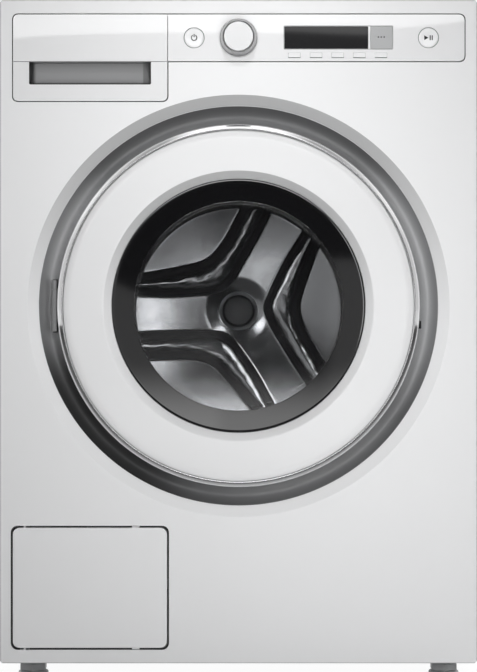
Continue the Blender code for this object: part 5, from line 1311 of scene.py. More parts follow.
def hub_cap():
    profile = [
        (0, HUB_FRONT),
        (0.0201, HUB_FRONT),
        (0.0205, HUB_FRONT + 0.0002),
        (0.0214, HUB_FRONT + 0.0012),
        (0.0216, HUB_FRONT + 0.0018),
        (0.0216, HUB_FRONT + 0.0075),
        (0.0222, HUB_FRONT + 0.0085),
        (0.0226, PLATE_DEPTH - 0.0040),
        (0.0236, PLATE_DEPTH - 0.0028),
        (0.0236, PLATE_DEPTH + 0.001),
    ]
    cap = revolve("hub_cap", profile, sides=96)
    return hand_over(cap, hub_steel, "drum", ["drum_back"], weighted=True)


drum_back()
hub_cap()

# %% [markdown]
# The drum's wall is a perforated sheet. One tile with a small round hole is modelled flat, repeated
# by two Array modifiers with each row shifted by half a step, and the flat sheet is then wrapped
# into a cylinder. The front ring and the rolled lip at the mouth are turned on the lathe.

# %% Drum shell
DRUM_FRONT = 0.086
DRUM_LIP_RADIUS = 0.170
LIP_SECTION = (
    (0.010, 0), (0.0025, 0.0003), (0.0004, 0.0018), (0, 0.0035), (0.0004, 0.0054),
    (0.0014, 0.0060), (0.0022, 0.0052), (0.0035, 0.0016), (0.010, 0.0012),
)
TILES_ROUND = 108
TILE_ROWS = 22


def perforated_tile(pitch):
    deselect()
    bpy.ops.mesh.primitive_plane_add(size=pitch, location=(pitch / 2, pitch / 2, 0))
    tile = name_it("drum_wall_tile")
    settle(tile)
    open_edit(tile, "VERT")
    bpy.ops.mesh.select_all(action="SELECT")
    bpy.ops.mesh.subdivide(number_cuts=1)
    middle = Vector((pitch / 2, pitch / 2, 0))
    select_where(tile, "verts", lambda vert: (vert.co - middle).length < pitch * 0.1)
    bpy.ops.mesh.bevel(offset=pitch * 0.17, segments=2, profile=0.5, affect="VERTICES")
    bpy.ops.mesh.select_mode(type="FACE")
    near = pitch * 0.05
    select_where(tile, "faces", lambda part: (part.calc_center_median() - middle).length < near)
    bpy.ops.mesh.delete(type="FACE")
    close_edit()
    return tile


def wrap_round(obj, radius, start_depth):
    """Rolls a flat sheet round the door's axis: its X becomes the way round, its Y the depth."""
    for vert in obj.data.vertices:
        turn = vert.co.x / radius
        vert.co = (
            DOOR[0] + radius * math.sin(turn),
            at(start_depth + vert.co.y),
            DOOR[1] - radius * math.cos(turn),
        )
    obj.data.update()


def drum_mouth(radius, start):
    """The front ring of the drum, with a rolled lip."""
    profile = [
        (radius + 0.0006, start),
        (radius - 0.0004, start - 0.003),
        (radius - 0.0028, DRUM_FRONT + 0.0008),
        (radius - 0.0060, DRUM_FRONT),
        *((DRUM_LIP_RADIUS + outwards, DRUM_FRONT + back) for outwards, back in LIP_SECTION),
        (radius - 0.0062, DRUM_FRONT + 0.0012),
        (radius - 0.0038, DRUM_FRONT + 0.0018),
        (radius - 0.0016, DRUM_FRONT + 0.0034),
        (radius - 0.0006, start),
    ]
    return revolve("drum_mouth", [*profile, profile[0]], sides=TILES_ROUND * 2)


def drum_shell():
    radius = DRUM_RADIUS - 0.0006
    pitch = 2 * math.pi * radius / TILES_ROUND
    start, end = DRUM_FRONT + 0.006, PLATE_DEPTH - 0.0006
    tile = perforated_tile(pitch)
    for count, shift in ((TILES_ROUND, (pitch, 0, 0)), (TILE_ROWS, (pitch / 2, pitch, 0))):
        modify(
            tile,
            "ARRAY",
            count=count,
            use_relative_offset=False,
            use_constant_offset=True,
            constant_offset_displace=shift,
            use_merge_vertices=True,
            merge_threshold=1e-5,
        )
    margin = (end - start - TILE_ROWS * pitch) / 2
    wrap_round(tile, radius, start + margin)
    for name, span in (("front", (start, start + margin)), ("back", (end - margin, end))):
        band = [(radius, depth) for depth in span]
        merge_into(tile, revolve(f"drum_{name}_band", band, sides=TILES_ROUND * 2))
    mend(tile)
    modify(tile, "SOLIDIFY", thickness=0.0012, offset=0)
    merge_into(tile, drum_mouth(radius, start))
    return hand_over(tile, wall_steel, "drum", ["drum_shell"])


drum_shell()

# %% [markdown]
# Three hollow paddles lift the washing. One is modelled upright at the drum's top: a tapered block
# with a wide foot, rounded all over, with a row of slots for the water. The other two are copies
# that are turned about the drum's axis.

# %% Lifters
def lifter_piece():
    inner = DRUM_RADIUS - 0.0012
    base, crest, tall, long = 0.030, 0.011, 0.044, 0.290
    seat = math.sqrt(inner**2 - base**2) - 0.0005
    middle = (DRUM_FRONT + PLATE_DEPTH) / 2
    paddle = slab(
        "lifter_paddle",
        around(DOOR[0], base),
        around(middle, long / 2),
        (DOOR[1] + seat - tall, DOOR[1] + seat),
    )
    open_edit(paddle, "VERT")
    select_where(paddle, "verts", lambda vert: vert.co.z < DOOR[1] + seat - tall / 2)
    scale = (crest / base, 0.93, 1)
    bpy.ops.transform.resize(value=scale, center_override=(DOOR[0], at(middle), DOOR[1]))
    close_edit()
    soften(paddle, 0.0075, 5, 20)
    slots = []
    for number in range(6):
        depth = middle + (number - 2.5) * 0.040
        place = (DOOR[0], at(depth), DOOR[1] + seat - tall * 0.62)
        deselect()
        bpy.ops.mesh.primitive_cylinder_add(
            vertices=16, radius=0.0042, depth=0.08, location=place, rotation=(0, math.pi / 2, 0)
        )
        slots.append(name_it(f"lifter_slot_{number}"))
        settle(slots[-1])
    cut_out(paddle, *slots)
    return paddle


def copy_of(obj, name, turn=0.0, move=(0, 0, 0)):
    """A copy with its own mesh, turned about the door's axis or moved."""
    alone(obj)
    bpy.ops.object.duplicate()
    copy = name_it(name)
    open_edit(copy)
    bpy.ops.mesh.select_all(action="SELECT")
    if turn:
        middle = (DOOR[0], 0, DOOR[1])
        bpy.ops.transform.rotate(value=turn, orient_axis="Y", center_override=middle)
    bpy.ops.transform.translate(value=move)
    close_edit()
    return copy


def lifters():
    first = lifter_piece()
    for number, degrees in ((1, 90), (2, 210), (3, 330)):
        low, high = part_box(f"lifter_{number}")
        copy = copy_of(first, f"lifter_paddle_{number}", turn=math.radians(degrees - 90))
        middle = sum((vert.co for vert in copy.data.vertices), Vector()) / len(copy.data.vertices)
        wanted = (low + high) / 2
        print("lifter", number, "off by", round((middle - wanted).length, 4))
        hand_over(copy, grey_plastic, "drum", [f"lifter_{number}"])
    bpy.data.objects.remove(first, do_unlink=True)


lifters()

# %% [markdown]
# The bellows between the cabinet and the tub has to give when the tub bounces. It is turned with a
# rolled lip, one deep fold and a thick bead at each end.

# %% Door gasket
def door_gasket():
    front, back = depths_of("door_gasket")
    corners = [
        (0.1855, front),
        (0.1855, front + 0.0050),
        (0.1740, front + 0.0050),
        (0.1655, front + 0.0075),
        (0.1650, front + 0.0190),
        (0.1845, front + 0.0260),
        (0.1845, back),
        (0.1715, back),
        (0.1715, back - 0.0040),
        (0.1795, back - 0.0045),
        (0.1795, front + 0.0285),
        (0.1612, front + 0.0215),
        (0.1600, front + 0.0030),
        (0.1625, front + 0.0006),
        (0.1700, front),
    ]
    radii = [0.0018, 0.0018, 0.0020, 0.0030, 0.0050, 0.0050, 0.0014, 0.0012]
    radii += [0.0012, 0.0030, 0.0050, 0.0050, 0.0018, 0.0016, 0.0020]
    bellows = revolve("door_bellows", rounded(corners, radii, steps=5))
    held, free = (DOOR[0], at(front + 0.006), DOOR[1]), (DOOR[0], at(back - 0.005), DOOR[1])
    bends = ("cabinet", "tub_group", held, free)
    return hand_over(bellows, grey_rubber, bends, ["door_gasket"])


door_gasket()

# %% [markdown]
# The hose under the tub is a short bellows as well. Its wall waves in and out so that it can
# stretch when the tub lifts, and a smooth cuff at each end takes the clip.

# %% Sump hose
HOSE_WALL, HOSE_CUFF, HOSE_WAVE = 0.0018, 0.0075, 0.0032
HOSE_WAVES, STEPS_PER_WAVE = 6, 10


def sump_hose():
    across, depth, (bottom, top) = spans("sump_hose")
    centre = (sum(across) / 2, sum(depth) / 2)
    trough = radius_of("sump_hose") - HOSE_WAVE
    start, length = top - HOSE_CUFF, top - bottom - 2 * HOSE_CUFF
    steps = HOSE_WAVES * STEPS_PER_WAVE
    outside = [(trough, top), (trough + 0.0002, start + 0.001)]
    for step in range(steps + 1):
        swell = 0.5 - 0.5 * math.cos(2 * math.pi * step / STEPS_PER_WAVE)
        outside.append((trough + HOSE_WAVE * swell, start - length * step / steps))
    outside += [(trough + 0.0002, bottom + HOSE_CUFF - 0.001), (trough, bottom)]
    inside = [
        (radius - HOSE_WALL, min(max(height, bottom), top)) for radius, height in reversed(outside)
    ]
    profile = [*outside, *inside, outside[0]]
    hose = revolve("sump_bellows", profile, centre=centre, sides=48, upright=True)
    x, y = centre[0], at(centre[1])
    bends = ("cabinet", "tub_group", (x, y, bottom + HOSE_CUFF), (x, y, top - HOSE_CUFF))
    return hand_over(hose, black_rubber, bends, ["sump_hose"])


sump_hose()

# %% [markdown]
# The pieces that are hidden until a door, a drawer or a cover is open already have the right
# shape, but their edges are razor sharp. A copy of each is welded, its flat faces are made whole
# again, and a narrow Bevel rounds every edge, as a press, a mould or a file would.

# %% Eased copies
def eased(node, width, finish, body):
    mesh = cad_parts[node].data.copy()
    copy = bpy.data.objects.new(f"{node}_eased", mesh)
    bpy.context.scene.collection.objects.link(copy)
    mesh.transform(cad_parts[node].matrix_world)
    mesh.name = copy.name
    mend(copy)
    open_edit(copy, "FACE")
    bpy.ops.mesh.select_all(action="SELECT")
    bpy.ops.mesh.dissolve_limited(angle_limit=math.radians(1.0))
    close_edit()
    soften(copy, width, 2, 32)
    return hand_over(copy, finish, body, [node], weighted=True)


STRUT_TUBES = [
    f"strut_tube_{side}_{end}" for end in ("front", "rear") for side in ("left", "right")
]
EASED = (
    ("cabinet", galvanised, {"base_pan": 0.0008, "rear_cover": 0.0004}),
    ("cabinet", enamel, {"cabinet_wrap": 0.0008, "top_cover": 0.0018}),
    ("cabinet", satin_white, {"dispenser_housing": 0.0006, "inlet_valve": 0.0006}),
    ("cabinet", grey_plastic, {"door_lock": 0.0006, "drain_pump": 0.0008}),
    ("cabinet", grey_plastic, dict.fromkeys(STRUT_TUBES, 0.0006)),
    ("cabinet", hinge_paint, {"hinge_bracket": 0.0004}),
    ("cabinet", board_green, {"control_board": 0.0003}),
    ("drawer", satin_white, {"drawer_tray": 0.0005}),
    ("door", hinge_paint, {"hinge_arm": 0.0004}),
    ("door", zinc, {"latch_hook": 0.0004}),
    ("filter", dark_grey, {"pump_filter": 0.0007}),
    ("tub_group", stainless, {"tub": 0.0005, "heater": 0.0003}),
    ("tub_group", cast_aluminium, {"motor": 0.0010}),
    ("tub_group", motor_grey, {"counterweight": 0.0030}),
    ("tub_group", galvanised, {"cradle_left": 0.0006, "cradle_right": 0.0006}),
    ("tub_group", black_rubber, {"drive_belt": 0.0004}),
    ("drum", cast_aluminium, {"drum_spider": 0.0012, "drum_pulley": 0.0008}),
    ("motor_rotor", zinc, {"motor_pulley": 0.0004}),
)
for body, finish, nodes in EASED:
    for node, width in nodes.items():
        eased(node, width, finish, body)

# %% [markdown]
# The control strip is a flat glossy moulding that fills the stepped opening beside the drawer. Its
# right corners are round and its left edge is straight. Every key sits in its own hole, so the thin
# dark seams round them are real gaps and not lines painted on.

# %% Control strip
ROUND_KEY_GAP = 0.0007
SMALL_KEY_GAP = 0.00015
GROOVE_OUTWARDS, GROOVE_INWARDS, GROOVE_DEPTH = 0.0011, 0.002, 0.0018
KNOB_SHAFT_HOLE = 0.0042
OPTION_KEYS = [f"option_button_{number}" for number in range(1, 6)]


def key_hole(node, below=0.0):
    across, _, height = (widened(span, SMALL_KEY_GAP) for span in spans(node))
    height = (height[0] - below, height[1])
    return slab(f"{node}_hole", across, THROUGH, height, corner=0.0006, corner_steps=3)


def round_hole(node):
    return rod(f"{node}_hole", radius_of(node) + ROUND_KEY_GAP, *centre_of(node), THROUGH, 96)


def knob_groove():
    outer, inner = KNOB_RADIUS + GROOVE_OUTWARDS, KNOB_RADIUS - GROOVE_INWARDS
    section = [(outer, -0.001), (outer, GROOVE_DEPTH), (inner, GROOVE_DEPTH), (inner, -0.001)]
    return revolve("knob_groove", [*section, section[0]], centre=KNOB, sides=128)


def control_strip():
    corners = corners_of(FASCIA_ACROSS, FASCIA_HEIGHT)
    outline = rounded(corners, [0, 0.008, 0.008, 0], steps=10)[:-1]
    strip = outlined("control_strip", outline, (0, FASCIA_DEPTH[1]))
    holes = [round_hole(node) for node in ("power_button", "start_button")]
    holes += [rod("knob_hole", KNOB_SHAFT_HOLE, *KNOB, THROUGH, 48), knob_groove()]
    holes += [key_hole(node) for node in ("display_window", "extras_button")]
    holes += [key_hole(node, below=0.0008) for node in OPTION_KEYS]
    cut_out(strip, *holes)
    soften(strip, 0.00035, 3, 50)
    return hand_over(strip, gloss_white, "cabinet", ["control_fascia"], weighted=True)


control_strip()

# %% [markdown]
# The knob is a tapered metal skirt with a fine bright chamfer at its shoulder, and a shallow white
# cap set into it. A short groove on the cap's edge shows which way it points. The skirt's foot
# steps back a little, which leaves the dark line where it meets the strip.

# %% Programme knob
CAP_RADIUS = 0.0182
CAP_STEM, CAP_BASE = 0.0035, -0.003


def knob_skirt():
    shoulder, foot = depths_of("knob_ring")
    base, bore = KNOB_RADIUS, CAP_RADIUS + 0.0007
    profile = [
        (bore, shoulder + 0.0012),
        (CAP_RADIUS + 0.0009, shoulder + 0.0002),
        (CAP_RADIUS + 0.0013, shoulder),
        (CAP_RADIUS + 0.0018, shoulder + 0.0003),
        (CAP_RADIUS + 0.0023, shoulder + 0.0010),
        (base - 0.0022, shoulder + 0.0046),
        (base - 0.0016, shoulder + 0.0062),
        (base - 0.0007, foot - 0.0050),
        (base - 0.0001, foot - 0.0030),
        (base, foot - 0.0016),
        (base - 0.0003, foot - 0.0004),
        (base - 0.0008, foot),
        (bore, foot),
    ]
    skirt = revolve("knob_skirt", [*profile, profile[0]], centre=KNOB, sides=128)
    return hand_over(skirt, knob_metal, "knob", ["knob_ring"])


def knob_face():
    front, back = depths_of("knob_cap")
    profile = [
        (0, front + 0.0005),
        (0.0120, front + 0.00035),
        (0.0160, front + 0.0001),
        (0.0172, front),
        (0.0178, front + 0.0002),
        (CAP_RADIUS, front + 0.0009),
        (CAP_RADIUS, CAP_BASE),
        (CAP_STEM, CAP_BASE),
        (CAP_STEM, back),
        (0, back),
    ]
    cap = revolve("knob_face", profile, centre=KNOB, sides=96)
    across, height = around(KNOB[0], 0.0006), (KNOB[1] + 0.0118, KNOB[1] + 0.0155)
    depth = (front - 0.002, front + 0.0007)
    cut_out(cap, slab("knob_mark_cutter", across, depth, height, corner=0.0005, corner_steps=4))
    return hand_over(cap, cap_white, "knob", ["knob_cap"])


knob_skirt()
knob_face()

# %% [markdown]
# The two round buttons carry the signs that every machine has: a broken ring with a bar for power,
# a triangle and two bars for start and pause. Each sign is a thin raised print: a flat shape that
# is extruded by a tenth of a millimetre. The power sign's ring is a turned ring with a gap cut in
# it.

# %% Round buttons
def ink_finish(name, colour):
    finish = Finish(name)
    worn = finish.noise(finish.place(), 3000.0, 2.0)
    return finish.set(
        Base_Color=finish.blend(worn, shaded(colour, 0.9), shaded(colour, 1.1)),
        Roughness=finish.step(worn, 0.2, 0.8, 0.45, 0.6),
    )


dark_ink = ink_finish("dark_ink", (0.018, 0.018, 0.019))
PRINT_HEIGHT = 0.0001
PRINT_ROOT = 0.0004
BUTTON_STEM, BUTTON_BASE = 0.003, 0.0034


def print_depth(face):
    return face - PRINT_HEIGHT * 0.6, face + PRINT_ROOT


def round_button(node, body, sign):
    centre, radius, (face, back) = centre_of(node), radius_of(node), depths_of(node)
    profile = [
        (0, face + 0.0002),
        (radius - 0.0030, face + 0.0001),
        (radius - 0.0006, face),
        (radius - 0.0002, face + 0.0002),
        (radius, face + 0.0006),
        (radius, BUTTON_BASE),
        (BUTTON_STEM, BUTTON_BASE),
        (BUTTON_STEM, back),
        (0, back),
    ]
    hand_over(revolve(f"{body}_disc", profile, centre=centre, sides=96), gloss_white, body, [node])
    hand_over(sign(centre, face), dark_ink, body, [node])


def power_sign(centre, face):
    front, back = print_depth(face)
    half, radius = 0.00058, 0.0034
    outer, inner = radius + half, radius - half
    section = [(outer, back), (outer, front), (inner, front), (inner, back), (outer, back)]
    ring = revolve("power_sign", section, centre=centre, sides=96)
    x, z = centre
    cut_out(ring, slab("power_gap", around(x, 0.0015), around(face, 0.001), (z + 0.001, z + 0.006)))
    place = around(x, half), (front, back), (z + 0.0008, z + 0.0046)
    return merge_into(ring, slab("power_bar", *place, corner=0.0003, corner_steps=3))


def start_sign(centre, face):
    depth = print_depth(face)
    x, z = centre
    corners = [(x - 0.0053, z - 0.0030), (x, z), (x - 0.0053, z + 0.0030)]
    sign = outlined("start_sign", rounded(corners, [0.0003] * 3, steps=3)[:-1], depth)
    for side, left in (("left", x + 0.0014), ("right", x + 0.0039)):
        bar = (left, left + 0.0014), depth, around(z, 0.0030)
        merge_into(sign, slab(f"pause_bar_{side}", *bar, corner=0.0002))
    return sign


round_button("power_button", "power_key", power_sign)
round_button("start_button", "start_key", start_sign)

# %% [markdown]
# The display is a pane of dark glass. The grey key beside it carries three dots, and below it lies
# a row of five small white keys, each with a slightly domed pad and a lower edge that slopes back.

# %% Display and keys
def display_pane():
    place = spans("display_window")
    pane = slab("display_pane", *place, corner=0.0005, edge=0.0004, corner_steps=3)
    return hand_over(pane, display_finish, "cabinet", ["display_window"], weighted=True)


def display_frame():
    """A fine satin frame that runs round the display and the grey key together."""
    display, key = spans("display_window"), spans("extras_button")
    across, height = (display[0][0], key[0][1]), (display[2][0], key[2][1])
    edge, width, depth = 0.0012, 0.0010, (-0.0004, 0.0003)
    outside = widened(across, edge), depth, widened(height, edge)
    inside = widened(across, edge - width), THROUGH, widened(height, edge - width)
    ring = slab("display_frame", *outside, corner=0.0016, corner_steps=5)
    cut_out(ring, slab("frame_window", *inside, corner=0.0008, corner_steps=3))
    soften(ring, 0.00015, 2, 40)
    return hand_over(ring, key_grey, "cabinet", ["display_window"])


def extras_key():
    pad = slab("extras_pad", *spans("extras_button"), corner=0.0006, edge=0.0004, corner_steps=3)
    hand_over(pad, key_grey, "extras_key", ["extras_button"], weighted=True)
    (x, z), face = centre_of("extras_button"), depths_of("extras_button")[0]
    print_face = face - PRINT_HEIGHT
    profile = [(0, print_face), (0.00085, print_face), (0.0009, face), (0.0009, face + 0.0006)]
    for number in (1, 2, 3):
        place = (x + (number - 2) * 0.0036, z + 0.0006)
        dot = revolve(f"extras_dot_{number}", profile, centre=place, sides=24)
        hand_over(dot, dark_ink, "extras_key", ["extras_button"])


def option_key():
    """The first small key. The others are copies of it."""
    across, depth, height = spans(OPTION_KEYS[0])
    pad = slab("option_pad_1", across, depth, height, corner=0.0008, corner_steps=4)
    face, slope_top = at(depth[0] + 1e-5), height[0] + 0.0012
    open_edit(pad, "FACE")
    select_where(pad, "faces", lambda part: part.normal.y < -0.9)
    bpy.ops.mesh.inset(thickness=0.0006, depth=0)
    select_where(pad, "verts", lambda vert: vert.co.y < face and vert.co.z < slope_top)
    bpy.ops.transform.translate(value=(0, 0.0011, 0))
    close_edit()
    soften(pad, 0.00025, 2, 30)
    return pad


display_pane()
display_frame()
extras_key()
first_key = option_key()
first_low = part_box(OPTION_KEYS[0])[0]
for number, node in enumerate(OPTION_KEYS, 1):
    copy = copy_of(first_key, f"option_pad_{number}_face", move=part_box(node)[0] - first_low)
    hand_over(copy, gloss_white, f"option_key_{number}", [node], weighted=True)
bpy.data.objects.remove(first_key, do_unlink=True)

# %% [markdown]
# The drawer's front is a thick moulding. Its grip is a recess under an overhanging lip: the fingers
# pull behind the lip. A satin tray lines the recess, and its tone carries painted shade towards the
# ends and the bottom, as the photograph has it. A fine dark line crosses the whole front at the
# lip's lower edge: a groove with a dark strip at its bottom, which is painted shade for the groove.

# %% Drawer front
GRIP_ACROSS = (-0.2613, -0.1091)
GRIP_HEIGHT = (0.7446, 0.7737)
GRIP_DEPTH = 0.0145
LIP_LINE = (GRIP_HEIGHT[1] - 0.0009, GRIP_HEIGHT[1])


def scoop(obj, extra):
    """Rounds the recess: its two lower corners, its far ends widely, its far bottom narrowly."""
    near_bottom, far = GRIP_HEIGHT[0] + 0.002, at(0.012)

    def low_corner(edge):
        return runs_along(edge, 1) and middle_of(edge).z < near_bottom

    def far_end(edge):
        return runs_along(edge, 2) and middle_of(edge).y > far

    def far_bottom(edge):
        return runs_along(edge, 0) and middle_of(edge).y > far and middle_of(edge).z < near_bottom

    roundings = (
        (low_corner, 0.0020 - extra, 5),
        (far_end, 0.0095 + extra, 10),
        (far_bottom, 0.0030 + extra, 10),
    )
    for test, offset, segments in roundings:
        open_edit(obj, "EDGE")
        select_where(obj, "edges", test)
        bpy.ops.mesh.bevel(offset=offset, segments=segments, affect="EDGES")
        close_edit()


def drawer_face():
    corners = corners_of(DRAWER_ACROSS, DRAWER_HEIGHT)
    outline = rounded(corners, [0.0075, 0.0075, 0, 0.0075], steps=8)[:-1]
    front = outlined("drawer_face", outline, (0, DRAWER_DEPTH[1]))
    recess = slab("recess", GRIP_ACROSS, (-0.01, GRIP_DEPTH), GRIP_HEIGHT)
    scoop(recess, 0)
    above = (GRIP_HEIGHT[1] - 0.0006, GRIP_HEIGHT[1] + 0.012)
    behind_lip = slab("behind_lip", GRIP_ACROSS, (0.006, GRIP_DEPTH), above)
    line = slab("lip_line", widened(DRAWER_ACROSS, 0.002), (-0.002, 0.0014), LIP_LINE)
    cut_out(front, recess, behind_lip, line)
    soften(front, 0.0005, 3, 40)
    return hand_over(front, gloss_white, "drawer", ["drawer_front"], weighted=True)


def grip_grey(colour):
    """Grey with painted shade towards the ends, the bottom and the top of the recess."""
    finish = Finish("grip_grey")
    place = finish.place()
    across, up = finish.part(place, 0), finish.part(place, 2)
    (left, right), (bottom, top) = GRIP_ACROSS, GRIP_HEIGHT
    # Painted shade, darker towards the ends, the bottom and the top.
    share = finish.step(across, left + 0.003, left + 0.0085, 0.10, 1.0)
    share = share * finish.step(across, right - 0.0115, right - 0.0095, 1.0, 0.55)
    share = share * finish.step(up, bottom + 0.0026, bottom + 0.0048, 0.15, 1.0)
    share = share * finish.step(up, top - 0.012, top, 1.0, 0.72)
    fleck = finish.noise(place, 900.0)
    return finish.set(
        Base_Color=finish.blend(share, BLACK, colour),
        Roughness=finish.step(fleck, 0.3, 0.7, 0.50, 0.56),
    )


def grip_liner():
    """A thin satin tray that lines the recess: a box without its front, with a wall."""
    inset = 0.0001
    depth, height = (0.0009, GRIP_DEPTH - inset), (GRIP_HEIGHT[0] + inset, GRIP_HEIGHT[1] - 0.0007)
    liner = slab("grip_liner", widened(GRIP_ACROSS, -inset), depth, height)
    scoop(liner, inset)
    open_edit(liner, "FACE")
    select_where(liner, "faces", lambda part: part.normal.y < -0.9)
    bpy.ops.mesh.delete(type="FACE")
    close_edit()
    modify(liner, "SOLIDIFY", thickness=0.0005, offset=-1)
    return hand_over(liner, grip_grey((0.30, 0.302, 0.306)), "drawer", ["drawer_front"])


# A dark strip at the bottom of the lip's groove: painted shade, so that the line reads dark.
def lip_shadow_strip():
    strip = slab("lip_shadow_strip", widened(DRAWER_ACROSS, -0.0006), (0.0007, 0.0014), LIP_LINE)
    soften(strip, 0.0001, 1)
    return hand_over(strip, dark_grey, "drawer", ["drawer_front"])


drawer_face()
grip_liner()
lip_shadow_strip()

# %% [markdown]
# The flap over the filter is a plain plate with round corners. Its two pins and its two clips reach
# into the panel's edge above and below. A dark frame lies behind its seam, with room for them:
# painted shade for the seam.

# %% Service flap
FITTINGS = {
    "pin": {"x": PIN_X, "reach": 0.008, "half": 0.0016, "depth": (0.0016, 0.0048), "edge": 0.0012},
    "clip": {"x": CLIP_X, "reach": 0.0017, "half": 0.0045, "depth": (0.001, 0.002), "edge": 0.0003},
}


def fitting(name, side, edge, outward):
    rule = FITTINGS[name]
    span = ordered(edge - outward * 0.003, edge + outward * rule["reach"])
    place = around(rule["x"], rule["half"]), rule["depth"], span
    return slab(f"flap_{name}_{side}", *place, edge=rule["edge"])


def service_flap():
    body = FLAP_ACROSS, (0, 0.004), FLAP_HEIGHT
    plate = slab("service_plate", *body, corner=FLAP_ROUND, edge=0.0007, corner_steps=12)
    merge_into(plate, *(fitting(name, *side) for side in FLAP_SIDES for name in FITTINGS))
    return hand_over(plate, enamel, "flap", ["filter_flap"], weighted=True)


# A black frame behind the flap's seam: painted shade for the seam, with room for the pins and
# clips.
def service_shadow_frame():
    frames = []
    for gap, depth in ((FLAP_SEAM + 0.003, (0.0012, 0.0070)), (0.0008, DEEP_THROUGH)):
        place = widened(FLAP_ACROSS, gap), depth, widened(FLAP_HEIGHT, gap)
        frames.append(slab("service_shadow_frame", *place, corner=FLAP_ROUND - FLAP_SEAM + gap))
    tall = widened(FLAP_HEIGHT, 0.02)
    for name, x, half in (("pin", PIN_X, 0.0062), ("clip", CLIP_X, 0.005)):
        frames.append(slab(f"{name}_room", around(x, half), DEEP_THROUGH, tall))
    cut_out(*frames)
    return hand_over(frames[0], black_rubber, "cabinet", ["front_panel"])


service_flap()
service_shadow_frame()

# %% [markdown]
# A foot is a hexagon that a spanner turns, on a round pad, with a threaded stud. The thread is a
# stack of rings rather than a helix, which nobody can tell apart behind the panel. One foot is
# modelled, and all four are copies of it.

# %% Feet
HEXAGON = (
    (0, 0.0142), (0.0174, 0.0142), (0.0184, 0.0134),
    (0.0184, 0.0062), (0.0165, 0.0040), (0, 0.0040),
)
PAD = (
    (0, 0.0045), (0.0170, 0.0045), (0.0183, 0.0040), (0.0190, 0.0030), (0.0190, 0.0008),
    (0.0184, 0), (0.0120, 0), (0.0110, 0.0006), (0, 0.0006),
)
THREAD_START, THREAD_END, THREAD_PITCH, THREAD_TURNS = 0.0150, 0.0632, 0.0015, 32
THREAD_CORE, THREAD_CREST = 0.0034, 0.0040
FOOT_BODIES = {
    "left_front": "foot_a",
    "right_front": "foot_b",
    "left_rear": "foot_c",
    "right_rear": "foot_d",
}


def foot_piece():
    across, depth, (_, top) = spans("foot_left_front")
    centre = (sum(across) / 2, sum(depth) / 2)
    hexagon = revolve("foot_hexagon", HEXAGON, centre=centre, sides=6, upright=True)
    soften(hexagon, 0.0006, 3, 25)
    pad = revolve("foot_pad", PAD, centre=centre, sides=48, upright=True)
    thread = [(0, THREAD_START)]
    for turn in range(THREAD_TURNS):
        height = THREAD_START + turn * THREAD_PITCH
        thread += [(THREAD_CORE, height), (THREAD_CREST, height + THREAD_PITCH / 2)]
    thread += [(THREAD_CORE, THREAD_END), (0.0030, top), (0, top)]
    stud = revolve("foot_stud", thread, centre=centre, sides=20, upright=True)
    return merge_into(hexagon, pad, stud)


first_foot = foot_piece()
front_low, front_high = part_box("foot_left_front")
for place, body in FOOT_BODIES.items():
    low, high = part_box(f"foot_{place}")
    move = ((low + high) - (front_low + front_high)) / 2
    copy = copy_of(first_foot, f"foot_piece_{place}", move=move)
    hand_over(copy, foot_grey, body, [f"foot_{place}"], degrees=30)
bpy.data.objects.remove(first_foot, do_unlink=True)

# %% [markdown]
# The photograph is taken squarely from the front, a little below the door's centre. The lens
# follows from the distance and from how wide the cabinet stands in the picture, and a small shift
# lifts the frame without tilting the camera, so that the cabinet's sides stay upright.

# %% Camera
PHOTO_WIDTH = 477
PHOTO_HEIGHT = 672
PANEL_BOTTOM_ROW = 663.4
CAMERA_DISTANCE = 2.4
CAMERA_HEIGHT = 0.425
SENSOR = 36.0
panel_low, panel_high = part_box("front_panel")
PIXEL = (panel_high.x - panel_low.x) / PHOTO_WIDTH
picture_height = PHOTO_HEIGHT * PIXEL
picture_middle = panel_low.z + (PANEL_BOTTOM_ROW - PHOTO_HEIGHT / 2) * PIXEL
bpy.ops.object.camera_add(
    location=(0, FACE - CAMERA_DISTANCE, CAMERA_HEIGHT), rotation=(math.pi / 2, 0, 0)
)
camera = bpy.context.object
camera.data.sensor_width = SENSOR
camera.data.lens = SENSOR * CAMERA_DISTANCE / picture_height
camera.data.shift_y = (picture_middle - CAMERA_HEIGHT) / picture_height
bpy.context.scene.camera = camera
bpy.context.scene.view_settings.view_transform = "Standard"
print("lens", round(camera.data.lens, 2), "shift", round(camera.data.shift_y, 4))


# %% [markdown]
# The studio is simple. Two broad lamps in front make the soft hill of light on the white panel, and
# a small one above lights the control strip and draws the knob's shadow. Four gentle lamps reach
# the sides, the back and the top. No lamp shows in a reflection, since the world's cards do that.

# %% Lamps
MIDDLE = (0, 0, 0.43)
LAMPS = {
    "upper_front_lamp": ((-0.02, FACE - 0.68, 0.74), (-0.02, FACE, 0.74), 0.36, 2.1),
    "brow_lamp": ((-0.01, FACE - 0.32, 1.06), (-0.01, FACE, 0.80), 0.06, 0.46),
    "lower_front_lamp": ((0.20, FACE - 0.80, 0.34), (0.20, FACE, 0.34), 0.40, 2.6),
    "left_lamp": ((-2.4, 0.6, 1.3), MIDDLE, 1.4, 24),
    "right_lamp": ((2.4, 0.6, 1.3), MIDDLE, 1.4, 27),
    "back_lamp": ((0.4, 2.6, 1.4), MIDDLE, 1.4, 21),
    "top_lamp": ((0.2, 0.6, 2.6), (0.2, 0.6, 0), 1.4, 19),
}


def lamp(name, location, target, size, power):
    deselect()
    bpy.ops.object.light_add(type="AREA", location=location)
    light = name_it(name)
    light.data.shape = "DISK"
    light.data.size = size
    light.data.energy = power
    light.rotation_euler = (Vector(target) - Vector(location)).to_track_quat("-Z", "Y").to_euler()
    light.visible_camera = False
    light.visible_glossy = False
    light.visible_transmission = False


for name, values in LAMPS.items():
    lamp(name, *values)
print("lamps:", len(LAMPS))

